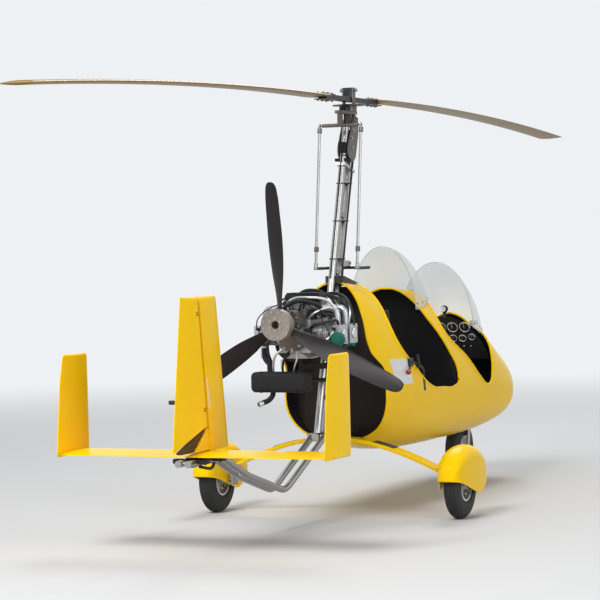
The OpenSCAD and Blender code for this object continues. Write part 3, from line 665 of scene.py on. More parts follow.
@dataclass
class Pod:
    """The yellow cabin shell with its cockpit openings, rolled rims and black lining."""

    wall: float = 0.007
    rim: float = 0.0075
    rear_rim: float = 0.005
    around: int = 160
    stations: np.ndarray = field(default_factory=lambda: in_metres(
        (2431, 3, 637, 640, 644), (2425, 85, 560, 640, 715), (2400, 185, 505, 643, 775), (2350, 268, 455, 647, 840),
        (2280, 320, 420, 652, 900), (2190, 347, 398, 662, 962), (2050, 361, 378, 690, 1040),
        (1850, 370, 360, 715, 1160), (1550, 374, 350, 735, 1250), (1200, 374, 350, 745, 1345),
        (800, 374, 350, 750, 1400), (350, 374, 362, 755, 1425), (-50, 366, 405, 755, 1455),
        (-290, 352, 462, 760, 1475), (-500, 325, 520, 770, 1450)))
    cowl: np.ndarray = field(default_factory=lambda: in_metres(
        (2140, 60, 700, 800, 960), (2130, 120, 700, 800, 1000), (2060, 170, 700, 800, 1105),
        (1960, 215, 700, 800, 1172), (1850, 240, 700, 800, 1198), (1700, 250, 700, 800, 1212)))
    front_opening: np.ndarray = field(default_factory=lambda: in_metres(
        (900, 1520), (880, 1400), (830, 1170), (1200, 905), (1420, 765), (1510, 722), (1590, 714), (1640, 736),
        (1675, 800), (1740, 915), (1805, 995), (1850, 1080), (1845, 1150), (1800, 1230), (1750, 1520)))
    rear_opening: np.ndarray = field(default_factory=lambda: in_metres(
        (-70, 1560), (-75, 1370), (-100, 1215), (-80, 1120), (-29, 1048), (138, 921), (344, 800), (470, 760),
        (640, 748), (880, 745), (950, 765), (955, 820), (840, 985), (741, 1100), (640, 1216), (600, 1320),
        (600, 1560)))
    rear_edge: np.ndarray = field(default_factory=lambda: in_metres(
        (-290, 380), (-290, 520), (-318, 640), (-326, 760), (-330, 930), (-400, 985), (-455, 1030), (-476, 1090),
        (-440, 1230), (-360, 1400), (-292, 1500), (-292, 1600)))

    def rows(self) -> np.ndarray:
        """The stations as one smooth table, from the nose to the tail."""
        table = flowing(self.stations, 7)
        table[:, 1] = np.minimum(table[:, 1], self.stations[:, 1].max())
        return table

    def at(self, x: np.ndarray) -> np.ndarray:
        """Half width, low, mid and top of the pod at places along it."""
        table = self.rows()[::-1]
        return np.stack([np.interp(x, table[:, 0], table[:, k]) for k in (1, 2, 3, 4)])

    def cowl_height(self, x: np.ndarray, y: np.ndarray) -> np.ndarray:
        """Height of the cowl in front of the screen: a half ellipse over its width, nothing beyond it."""
        table = flowing(self.cowl, 6)[::-1]
        half, mid, top = (np.interp(x, table[:, 0], table[:, k]) for k in (1, 3, 4))
        inside = np.clip(1 - (y / half) ** 2, 0, 1)
        height = mid + (top - mid) * np.sqrt(inside)
        return np.where((np.abs(y) < half) & (x > 1.69) & (x < 2.139), height, -9.0)

    def height(self, x: np.ndarray, y: np.ndarray) -> np.ndarray:
        """Height of the pod's upper side over a place, or -9 beside it."""
        half, _, mid, top = self.at(x)
        inside = 1 - (y / half) ** 2
        hull = np.where(inside > 0, mid + (top - mid) * np.sqrt(np.clip(inside, 0, 1)), -9.0)
        return np.maximum(hull, self.cowl_height(x, y))

    def surface(self, inset: float) -> np.ndarray:
        """A grid of the pod's surface, moved in by an inset.

        Above the widest line a ring is a half ellipse. Below it both sine and cosine are raised to 0.84,
        which fills the corners. The cowl's height takes over where it is the larger, with a soft change.

        Args:
            inset: how far the surface is moved in.

        Returns:
            An array of rings from nose to tail.
        """
        table = self.rows()
        turn = np.linspace(0, 2 * np.pi, self.around, endpoint=False)
        c, s = np.cos(turn), np.sin(turn)
        power = np.where(s >= 0, 1.0, 0.84)
        c, s = np.sign(c) * np.abs(c) ** power, np.sign(s) * np.abs(s) ** power
        x, half, low, mid, top = (table[:, k:k + 1] for k in range(5))
        nose = np.clip((x - 2.28) / 0.14, 0, 1)
        rise = np.where(s >= 0, top - mid, mid - low)
        y = np.maximum(half - inset, 0.0005) * c
        z = mid + np.maximum(rise - inset, 0.0005) * s
        cowl = self.cowl_height(x, y) - inset
        soft = 0.01
        high = np.maximum(z, cowl)
        z = np.where(s > 0, high + soft * np.exp(-np.abs(z - cowl) / soft) * (cowl > 0) * 0.5, z)
        return np.stack([np.broadcast_to(x - inset * nose, y.shape), y, z], axis=-1)

    def side(self, x: np.ndarray, z: np.ndarray) -> np.ndarray:
        """Half width of the shell at a place and height, the wider of the pod and its cowl."""
        half, low, mid, top = self.at(x)
        up = np.clip((z - mid) / (top - mid), 0, 1)
        down = np.clip((mid - z) / (mid - low), 0, 1)
        wide = np.where(z >= mid, half * np.sqrt(1 - up ** 2), half * (1 - down ** (2 / 0.84)) ** 0.42)
        table = flowing(self.cowl, 6)[::-1]
        c_half, c_mid, c_top = (np.interp(x, table[:, 0], table[:, k]) for k in (1, 3, 4))
        c_up = np.clip((z - c_mid) / (c_top - c_mid), 0, 1)
        cowl = np.where((x > 1.69) & (x < 2.13), c_half * np.sqrt(1 - c_up ** 2), 0)
        return np.maximum(wide, cowl)

    def rim_path(self, outline: np.ndarray) -> np.ndarray:
        """The closed line in which an opening's outline meets the shell, up one side and down the other."""
        fine = flowing(outline, 60)
        y = self.side(fine[:, 0], fine[:, 1])
        keep = y > 1e-4
        first, last = np.argmax(keep), len(keep) - np.argmax(keep[::-1]) - 1
        line = np.stack([fine[:, 0], -y, fine[:, 1]], axis=1)[first:last + 1]
        line = np.concatenate([line, line[::-1] * [1, -1, 1]])
        step = np.concatenate([[0], np.cumsum(np.linalg.norm(np.diff(line, axis=0), axis=1))])
        even = np.linspace(0, step[-1], 260, endpoint=False)
        return np.stack([np.interp(even, step, line[:, k]) for k in range(3)], axis=1)

    def build(self) -> None:
        """Makes the shell, cuts its openings, and lays the rolled rims round them."""
        outer, inner = self.surface(0), self.surface(self.wall)
        rows, around = outer.shape[:2]
        quads = grid_faces(rows, around, True)
        size = rows * around
        faces = quads.tolist() + (quads[:, ::-1] + size).tolist()
        start = (rows - 1) * around
        faces += [[start + i, start + (i + 1) % around, size + start + (i + 1) % around, size + start + i]
                  for i in range(around)]
        faces += [list(range(around - 1, -1, -1)), [size + i for i in range(around)]]
        mesh = bpy.data.meshes.new("pod_skin")
        mesh.from_pydata(np.concatenate([outer.reshape(-1, 3), inner.reshape(-1, 3)]).tolist(), [], faces)
        lining = np.zeros(len(faces), np.int32)
        lining[len(quads):2 * len(quads)] = 1
        lining[-1] = 1
        if sum(p.area * p.normal.dot(p.center - Vector((1, 0, 0.8))) for p in list(mesh.polygons)[:len(quads)]) < 0:
            mesh.flip_normals()
        pod = place_mesh("pod_skin", mesh, [YELLOW, LINER], "pod_shell", 35, stands=True)
        mesh.polygons.foreach_set("material_index", lining)
        cockpits = [side_prism(flowing(line, 12), 0.6) for line in (self.front_opening, self.rear_opening)]
        behind = np.concatenate([flowing(self.rear_edge, 10), [[-0.8, 1.6], [-0.8, 0.38]]])
        slot = lathe([(-0.12, 0), (-0.12, 0.026), (0.12, 0.026), (0.12, 0)], (-0.2468, 0, 1.4542), (0.2877, 0, 0.9577),
                     32)
        carved(pod, [joined([*cockpits, self._wheel_well()]), side_prism(behind, 0.6), slot])
        rims = [tube(self.rim_path(line), radius, around, 1, closed=True) for line, radius, around in (
            (self.front_opening, self.rim, 10), (self.rear_opening, self.rim, 10), (self.rear_edge, self.rear_rim, 8))]
        add_piece("pod_rims", rims, YELLOW, "pod_shell")
        self._flank()

    def _wheel_well(self) -> Patch:
        """The opening for the nose wheel's fork: an upright prism with round corners."""
        turn = np.concatenate([np.linspace(k * np.pi / 2, (k + 1) * np.pi / 2, 7) for k in range(4)])
        x = 1.99 + np.repeat([1, -1, -1, 1], 7) * 0.135 + 0.04 * np.cos(turn)
        y = np.repeat([1, 1, -1, -1], 7) * 0.118 + 0.04 * np.sin(turn)
        return skin(np.stack([np.stack([x, y, np.full(28, z)], axis=1) for z in (0.3, 0.44)]))

    def _on_side(self, corners: tuple, rows: int, columns: int, lift: float) -> Patch:
        """A thin plate that lies on the starboard flank.

        Args:
            corners: its four corners, given as x and z.
            rows: number of points up.
            columns: number of points along.
            lift: how far it stands off the shell.

        Returns:
            The patch.
        """
        a, b, c, d = (np.array(p) for p in corners)
        s, t = (v[..., None] for v in np.meshgrid(np.linspace(0, 1, columns), np.linspace(0, 1, rows)))
        x, z = np.moveaxis((1 - t) * ((1 - s) * a + s * b) + t * (s * c + (1 - s) * d), -1, 0)
        y = -self.side(x, z)
        outer, inner = np.stack([x, y - lift, z], axis=-1), np.stack([x, y + 0.001, z], axis=-1)
        return skin(np.concatenate([outer, inner[:, ::-1]], axis=1))

    def _flank(self) -> None:
        """The blank placard, the latch lever with its knob, and the strap on the starboard flank."""
        card = self._on_side(((-0.25, 0.982), (0.034, 0.968), (0.088, 0.806), (-0.186, 0.822)), 10, 14, 0.002)
        add_piece("flank_placard", card, PALE, "pod_shell")
        strap = self._on_side(((0.262, 0.858), (0.286, 0.858), (0.304, 0.75), (0.28, 0.75)), 8, 4, 0.004)
        latch = pillow((0.065, -0.358, 0.945), (0.034, 0.016, 0.026), 0.008, 3)
        rods = [tube(in_metres(*path), radius, 10, 6) for radius, path in (
            (0.008, ((85, -366, 950), (160, -385, 925), (215, -386, 900), (262, -378, 868))),
            (0.007, ((50, -364, 935), (20, -376, 910), (-12, -380, 893))),
            (0.01, ((135, -384, 990), (140, -388, 945), (150, -386, 905))))]
        add_piece("latch_lever", [strap, latch, *rods], ENAMEL, "pod_shell")
        knob = lathe([(-0.017, 0), (-0.013, 0.012), (0, 0.0175), (0.013, 0.012), (0.017, 0)], (-0.022, -0.382, 0.888),
                     (0.6, 0, 0.5), 20)
        add_piece("latch_knob", knob, RED, "pod_shell")


@dataclass
class Windscreen:
    """One bubble screen: arches that shrink forward and end where they meet the pod."""

    name: str
    node: str
    x0: float
    x1: float
    width: float
    foot0: float
    foot1: float
    top: float
    thickness: float = 0.003

    def point(self, s: np.ndarray, a: np.ndarray) -> np.ndarray:
        """A point of the screen.

        Args:
            s: share of the way forward.
            a: angle over the arch, 0 to pi.

        Returns:
            The points: the arch narrows and lowers with the root of 1 less (0.97 s) squared.
        """
        f = np.sqrt(np.clip(1 - (0.97 * s) ** 2, 0, 1))
        rise = (self.top - self.foot0) * f + 0.06
        z = self.foot0 + (self.foot1 - self.foot0) * s - 0.06 + rise * np.sin(a)
        y = -self.width * (0.45 + 0.55 * f) * np.cos(a)
        return np.stack([self.x0 + (self.x1 - self.x0) * s + 0 * a, y, z], axis=-1)

    def build(self, pod: Pod) -> None:
        """Makes the sheet and its edge trim."""
        s = np.sin(np.linspace(0, np.pi / 2, 44)) * 1.03
        low, high = np.zeros_like(s), np.full_like(s, np.pi / 2)
        for _ in range(30):
            middle = (low + high) / 2
            p = self.point(s, middle)
            under = p[:, 2] < np.maximum(pod.height(p[:, 0], p[:, 1]) + 0.0006, self.foot1 - 0.06)
            low, high = np.where(under, middle, low), np.where(under, high, middle)
        free = high < np.pi / 2 - 0.02
        s, foot = s[free], high[free]
        share = np.linspace(0, 1, 56)
        a = foot[:, None] + share * (np.pi - 2 * foot[:, None])
        grid = self.point(s[:, None] + 0 * a, a)
        thick_sheet(self.name, grid, self.thickness, SCREEN, self.node, stands=True)
        edges = [tube(line, radius, 8, 2) for line, radius in (
            (grid[0], 0.0032), (grid[:, 0], 0.0028), (grid[:, -1], 0.0028), (grid[-1], 0.0028))]
        add_piece(self.name + "_edge", edges, SCREEN_EDGE, self.node)
        screws = [bolt(grid[k, j] + [0, 0, 0.012], (0, -1 if j == 1 else 1, 0.3), 0.004, 0.003)
                  for k in range(2, len(grid) - 6, 7) for j in (1, -2)]
        add_piece(self.name + "_screws", screws, ENAMEL, self.node)


def cushion(half: tuple, crown: float = 0.014, pull: float = 0.05, channels: tuple = (), n: int = 72) -> Patch:
    """A crowned cushion about the origin, flat below.

    It is a ball whose sines and cosines are raised to 0.3, which makes it boxy with round edges. Its sides
    pull in between the corners, its top rises by the crown in the middle, and sewn channels press it in.

    Args:
        half: half sizes in X, Y and Z.
        crown: how much the middle of the top stands up.
        pull: share by which the sides pull in.
        channels: places along X of the sewn channels, as shares of the half length.
        n: points round it.

    Returns:
        The patch.
    """
    lat, lon = np.meshgrid(np.linspace(-np.pi / 2, np.pi / 2, n // 2), np.linspace(0, 2 * np.pi, n, endpoint=False),
                           indexing="ij")
    bent = [np.sign(v) * np.abs(v) ** 0.3 for v in (np.cos(lon), np.sin(lon))]
    flat = np.abs(np.cos(lat)) ** 0.42
    u, v = flat * bent[0], flat * bent[1]
    w = np.sign(np.sin(lat)) * np.abs(np.sin(lat)) ** 0.42
    x = half[0] * u * (1 - pull * (1 - v ** 2))
    y = half[1] * v * (1 - pull * (1 - u ** 2))
    z = half[2] * w + np.where(w > 0, crown * (1 - u ** 2) * (1 - v ** 2), 0) * np.abs(w)
    for place in channels:
        z = z - np.where(w > 0, 0.007 * np.exp(-((u - place) / 0.035) ** 2), 0) * (1 - v ** 8)
    return skin(np.stack([x, y, z], axis=-1), caps=False)


@dataclass
class BucketSeat:
    """One black seat: a moulded bucket and its padded base and back."""

    name: str
    node: str
    x: float
    z: float
    back: float
    lean_deg: float = 14.0
    width: float = 0.43

    def build(self) -> None:
        """Makes the bucket, the cushions and the belts."""
        lean = math.radians(self.lean_deg)
        up = np.array([-math.sin(lean), 0, math.cos(lean)])
        out = np.array([math.cos(lean), 0, math.sin(lean)])
        corner = np.array([self.x - 0.012, 0, self.z + 0.035])
        path = [np.array([self.x + 0.435, 0, self.z + 0.042]), np.array([self.x + 0.4, 0, self.z + 0.014]),
                np.array([self.x + 0.15, 0, self.z + 0.012]), corner + [0.03, 0, -0.018],
                corner + 0.09 * up + 0.004 * out, corner + 0.5 * self.back * up, corner + (self.back - 0.06) * up]
        t = np.linspace(-1, 1, 25)
        lift = 0.035 * np.abs(t) ** 5
        section = np.concatenate([np.stack([t * self.width / 2, lift + 0.005], axis=1),
                                  np.stack([t * self.width / 2, lift - 0.005], axis=1)[::-1]])
        add_piece(self.name + "_bucket", ribbon(path, section, out + [0, 0, 0.3]), ENAMEL, self.node, stands=True)
        base = cushion((0.205, 0.19, 0.034), channels=(-0.35, 0.1, 0.55)).moved(
            turned(-3, "Y"), (self.x + 0.235, 0, self.z + 0.062))
        long = (self.back - 0.17) / 2
        face = np.column_stack([up, [0.0, 1.0, 0.0], out])
        rest = cushion((long, 0.185, 0.026), channels=(-0.5, -0.1, 0.3, 0.65)).moved(
            face, corner + (0.11 + long) * up + 0.034 * out)
        for label, pad in (("base", base), ("back", rest)):
            soft = add_piece(f"{self.name}_{label}", pad, CLOTH, self.node, smooth_deg=60)
        belts = []
        webbing = np.array([[-0.022, -0.0012], [0.022, -0.0012], [0.022, 0.0012], [-0.022, 0.0012]])
        top = corner + (self.back - 0.1) * up + 0.062 * out
        low = corner + 0.12 * up + 0.068 * out
        for y in (-0.09, 0.09):
            way = [top + [0, y, 0] - 0.03 * out, top + [0, y, 0.0], (top + low) / 2 + [0, y, 0] + 0.008 * out,
                   low + [0, y * 0.8, 0], [self.x + 0.16, y * 0.7, self.z + 0.112]]
            belts.append(ribbon(way, webbing))
        add_piece(self.name + "_belts", belts, HOSE, self.node)


@dataclass
class Dashboard:
    """The instrument panel's dials, switches and marks, and the compass on the cowl."""

    place: tuple[float, float, float] = (1.88, 0.0, 0.88)
    tilt_deg: float = -28.5

    def build(self) -> None:
        """Makes the dials as turned rims with dark faces, switches, a mark and the compass ball."""
        turn = turned(self.tilt_deg, "Y")
        rims, faces, needles, knobs = [], [], [], []
        for y, z, r in ((0.13, 0.2, 0.038), (0.04, 0.2, 0.038), (-0.05, 0.2, 0.038), (-0.14, 0.2, 0.038),
                        (0.17, 0.11, 0.027), (0.1, 0.11, 0.027), (0.03, 0.11, 0.027), (-0.04, 0.11, 0.027),
                        (-0.11, 0.11, 0.027), (-0.18, 0.12, 0.024)):
            rims.append(lathe([(0, r * 0.86), (0.006, r * 0.88), (0.008, r * 0.95), (0.006, r * 1.06), (0, r * 1.1)],
                              (0, y, z), (-1, 0, 0), 32))
            faces.append(lathe([(0.0015, 0), (0.0015, r * 0.87), (0, r * 0.87)], (0, y, z), (-1, 0, 0), 32))
            needles.append(pillow((-0.0026, y + r * 0.15, z + r * 0.3), (0.0006, r * 0.06, r * 0.5), 0.0004, 1))
        for k in range(8):
            knobs.append(lathe([(0, 0.005), (0.004, 0.0055), (0.005, 0.002), (0.017, 0.003), (0.018, 0)],
                               (0, 0.19 - 0.05 * k, 0.045), (-1, 0, 0.2), 12))
        shift = np.array(self.place) - turn @ [0.0004, 0, -0.055]
        for name, parts, finish in (("dial_rims", rims, MACHINED), ("dial_faces", faces, CRINKLE),
                                    ("dial_needles", needles, AMBER), ("panel_switches", knobs, MACHINED)):
            add_piece(name, joined(parts).moved(turn, shift), finish, "instrument_panel")
        card = pillow((-0.0012, -0.215, 0.235), (0.0012, 0.03, 0.022), 0.0008, 2).moved(turn, shift)
        add_piece("blank_placard", card, PALE, "instrument_panel")
        mark = pillow((-0.0012, 0.215, 0.24), (0.0012, 0.022, 0.016), 0.0008, 2).moved(turn, shift)
        add_piece("panel_mark", mark, AMBER, "instrument_panel")
        ball = lathe([(-0.027, 0), *[(-0.027 * math.cos(a), 0.027 * math.sin(a)) for a in np.linspace(0.2, 2.9, 14)],
                      (0.027, 0)], (1.73, 0, 1.234), (0, 0, 1), 32)
        foot = lathe([(-0.05, 0.015), (-0.046, 0.014), (-0.012, 0.011), (0, 0.015)], (1.73, 0, 1.22), (0, 0, 1), 24)
        add_piece("compass_body", [ball, foot], ENAMEL, "compass", stands=True)
        window = lathe([(0, 0), (0, 0.014), (0.002, 0.0165), (0.0, 0.019)], (1.7035, 0, 1.234), (-1, 0, 0), 24)
        add_piece("compass_window", window, PALE, "compass")


def foil_half(s: np.ndarray) -> np.ndarray:
    """Half thickness along a chord: root, belly and tail terms, as a share of the full thickness."""
    return 1.04 * np.sqrt(s) * (1 - s) + 0.34 * s * (1 - s) + 0.07 * s


def foil_ring(n: int = 44) -> np.ndarray:
    """A closed foil section: shares of the chord behind the nose, and half thicknesses, up and back."""
    s = (1 - np.cos(np.linspace(0, np.pi, n))) / 2
    upper = np.stack([s[::-1], foil_half(s[::-1])], axis=1)
    lower = np.stack([s[1:], -foil_half(s[1:])], axis=1)
    return np.concatenate([upper, lower])


def wing(stations: np.ndarray, along: int, round_ends: tuple = (True, True), corner: float = 0.022) -> Patch:
    """A fin or wing between stations, with rounded ends.

    Args:
        stations: rows of the nose's place (x, y, z), the chord, the thickness and the direction of the
            thickness (0 for Y, 1 for Z).
        along: number of rings between the first and the last station.
        round_ends: which ends are rounded.
        corner: radius of the rounding seen from the side.

    Returns:
        The patch. Near a round end the thickness shrinks as the cosine while the place moves as the sine.
    """
    table = np.asarray(stations, float)
    t = np.linspace(0, len(table) - 1, along)
    fine = np.stack([np.interp(t, np.arange(len(table)), table[:, k]) for k in range(table.shape[1])], axis=1)
    ring = foil_ring()
    scale = np.ones(along)
    push = fine[-1, :3] - fine[0, :3]
    push = push / np.linalg.norm(push)
    turn = np.linspace(0, np.pi / 2, 6)[1:]
    rows, sizes = [fine], [scale]
    for end, sign, used in ((0, -1, round_ends[0]), (-1, 1, round_ends[1])):
        if used:
            row = np.repeat(fine[[end]], len(turn), axis=0)
            reach = corner
            row[:, :3] += sign * (reach * (np.sin(turn) - 1))[:, None] * push
            size = np.cos(turn) * 0.985 + 0.015
            base = rows[0] if end == 0 else rows[-1]
            base[end, :3] += sign * -reach * push
            if end == 0:
                rows.insert(0, row[::-1])
                sizes.insert(0, size[::-1])
            else:
                rows.append(row)
                sizes.append(size)
    rows, sizes = np.concatenate(rows), np.concatenate(sizes)
    chord = rows[:, 3] - (1 - sizes) * corner * 2
    nose = rows[:, 0] - (1 - sizes) * corner
    x = nose[:, None] - chord[:, None] * ring[None, :, 0]
    thick = rows[:, 4] * sizes
    off = thick[:, None] * ring[None, :, 1]
    flat = rows[0, 5] < 0.5
    y = rows[:, 1:2] + (off if flat else 0 * off)
    z = rows[:, 2:3] + (0 * off if flat else off)
    return skin(np.stack([x, y, z], axis=-1))


@dataclass
class Tail:
    """Stabiliser, three fins and the rudder, in yellow, and a dark brown sheet of painted shade behind the rudder's
    foot.
    """

    half: float = 0.8
    z: float = 0.56
    thickness: float = 0.03
    fin_top: float = 1.12
    fin_thick: float = 0.032
    middle_thick: float = 0.058
    hinge_low: tuple[float, float] = (-2.284, 0.716)
    hinge_high: tuple[float, float] = (-2.37, 1.44)
    hinge_shares: tuple[float, float] = (0.12, 0.86)

    def build(self) -> None:
        """Makes the five surfaces and their fittings."""
        most = float(foil_half(np.linspace(0, 1, 200)).max())
        flat = wing(np.array([(-2.1, -self.half, self.z, 0.38, self.thickness, 1),
                              (-2.1, self.half, self.z, 0.38, self.thickness, 1)]), 24)
        add_piece("stabiliser_skin", flat, YELLOW, "stabiliser", stands=True)
        for side, word in ((1, "left"), (-1, "right")):
            y = side * (self.half + most * self.fin_thick + 0.0003)
            fin = wing(np.array([(-2.1, y, self.z - 0.015, 0.38, self.fin_thick, 0),
                                 (-2.102, y, 0.95, 0.33, self.fin_thick * 0.9, 0),
                                 (-2.106, y, self.fin_top, 0.284, self.fin_thick * 0.8, 0)]), 24)
            add_piece(f"side_fin_{word}_skin", fin, YELLOW, f"side_fin_{word}", stands=True)
            outside = side * (self.half + 2 * most * self.fin_thick - 0.001)
            screws = [bolt((x, outside, self.z), (0, side, 0), 0.005, 0.004) for x in (-2.16, -2.26, -2.36)]
            add_piece(f"side_fin_{word}_bolts", screws, MACHINED, f"side_fin_{word}")
        self._middle(most)
        self._rudder()

    def _cut(self, ahead: float) -> Patch:
        """The prism behind a line that runs ahead of the hinge line."""
        (x0, z0), (x1, z1) = self.hinge_low, self.hinge_high
        slope = (x1 - x0) / (z1 - z0)
        low = (x0 + ahead - slope * (z0 - 0.4), 0.4)
        high = (x0 + ahead + slope * (1.6 - z0), 1.6)
        return side_prism(np.array([low, high, (-3.0, 1.6), (-3.0, 0.4)]), 0.1)

    def _middle(self, most: float) -> None:
        """The middle fin ahead of the hinge, with its lugs."""
        base = self.z + most * self.thickness + 0.0003
        fin = wing(np.array([(-1.95, 0, base, 0.75, self.middle_thick, 0),
                             (-2.08, 0, self.hinge_high[1], 0.465, self.middle_thick * 0.85, 0)]), 30, (False, True))
        piece = add_piece("centre_fin_skin", fin, YELLOW, "centre_fin", stands=True)
        carved(piece, [self._cut(self.middle_thick / 2 + 0.004)])
        lugs = []
        for share in self.hinge_shares:
            spot = self._on_hinge(share)
            lugs.append(pillow((spot[0] + 0.024, 0, spot[2] + 0.006), (0.03, 0.009, 0.006), 0.002, 2))
            lugs.append(bolt((spot[0] + 0.03, 0.008, spot[2] + 0.006), (0, 1, 0), 0.004, 0.003))
        add_piece("rudder_lugs", lugs, MACHINED, "centre_fin")
        foot = side_prism(in_metres((-2225, 700), (-2268, 700), (-2425, 579.5), (-2200, 579.5)), 0.021)
        add_piece("fin_foot", foot, YELLOW, "centre_fin")
        # A thin dark brown sheet of painted shade that fills the notch under the rudder's foot, where the gap lies in
        # shadow.
        shade = side_prism(in_metres((-2262, 700), (-2600, 590.5), (-2585, 579.5), (-2400, 579.5)), 0.012)
        add_piece("fin_foot_painted_shade", shade, PAINTED_SHADE, "centre_fin")

    def _on_hinge(self, share: float) -> np.ndarray:
        """A point of the hinge line."""
        a = np.array([self.hinge_low[0], 0, self.hinge_low[1]])
        b = np.array([self.hinge_high[0], 0, self.hinge_high[1]])
        return a + (b - a) * share

    def _rudder(self) -> None:
        """The rudder: a round nose on the hinge line and straight sides to a thin tail."""
        rows = []
        turn = np.linspace(-np.pi / 2, np.pi / 2, 15)
        ends = np.array([(self.hinge_high[0], -2.53, self.hinge_high[1], self.hinge_high[1], 0.85),
                         (self.hinge_low[0], -2.66, self.hinge_low[1], 0.59, 1.0)])
        t = np.concatenate([[0, 0.001, 0.004, 0.009, 0.016, 0.024, 0.032], np.linspace(0.05, 1, 20)])
        fine = ends[0] + t[:, None] * (ends[1] - ends[0])
        shrink = np.sqrt(1 - np.clip(1 - t / 0.032, 0, 0.999) ** 2)
        for hx, tx, hz, tz, k in fine:
            r = self.middle_thick / 2 * k
            slope = (hz - tz) / (hx - tx)
            arc = np.stack([hx + r * np.cos(turn), r * np.sin(turn), hz + slope * r * np.cos(turn)], axis=1)
            back = np.linspace(0, 1, 14)[1:]
            left = np.stack([hx + (tx - hx) * back, r + (0.0022 - r) * back ** 1.08, hz + (tz - hz) * back], axis=1)
            rows.append(np.concatenate([arc, left, left[::-1] * [1, -1, 1]]))
        thin = np.stack([np.ones_like(shrink), shrink, np.ones_like(shrink)], axis=1)
        piece = add_piece("rudder_skin", skin(np.stack(rows) * thin[:, None]), YELLOW, "rudder", stands=True,
                          smooth_deg=35)
        hinges = [self._on_hinge(share) for share in self.hinge_shares]
        carved(piece, [joined([pillow((x + 0.02, 0, z + 0.006), (0.04, 0.06, 0.013), 0.001, 1)
                               for x, _, z in hinges])])
        pin = [(-0.012, 0), (-0.012, 0.005), (0.03, 0.005), (0.03, 0)]
        add_piece("rudder_pins", [lathe(pin, spot, (-0.118, 0, 0.993), 16) for spot in hinges], MACHINED, "rudder")
        lamp = [(0, 0), (0, 0.012), (0.03, 0.012), (0.034, 0.006), (0.034, 0)]
        horn = [pillow((self.hinge_low[0] - 0.02, 0.045, 0.742), (0.028, 0.024, 0.003), 0.0015, 2),
                lathe(lamp, (-2.618, 0.004, 0.87), (0, 1, 0), 20)]
        add_piece("rudder_horn_and_lamp", horn, ENAMEL, "rudder")
        band = side_prism(in_metres((-2276, 985), (-2264, 985), (-2236, 815), (-2248, 812)), 0.0014)
        add_piece("fin_pale_band", band.moved(PLAIN_TURN, (0, -0.0274, 0)), PALE, "centre_fin")
        self._clamps()

    def _clamps(self) -> None:
        """The clamps, rods and bolts under the stabiliser, where the tail tubes hold it."""
        under = [pillow((-2.24, 0, 0.532), (0.028, 0.115, 0.013), 0.004, 3),
                 pillow((-2.43, 0, 0.532), (0.024, 0.105, 0.013), 0.004, 3),
                 pillow((-2.33, 0, 0.52), (0.09, 0.016, 0.014), 0.005, 3),
                 tube([(-2.2, 0.03, 0.505), (-2.3, 0.045, 0.492), (-2.42, 0.03, 0.505)], 0.008, 10, 6),
                 tube([(-2.2, -0.03, 0.505), (-2.28, -0.05, 0.482), (-2.4, -0.036, 0.5)], 0.009, 10, 6)]
        under += [bolt((x, y, 0.519), (0, 0, -1), 0.007, 0.007) for y in (-0.085, 0.085) for x in (-2.24, -2.43)]
        add_piece("tail_clamps", under, ENAMEL, "stabiliser")


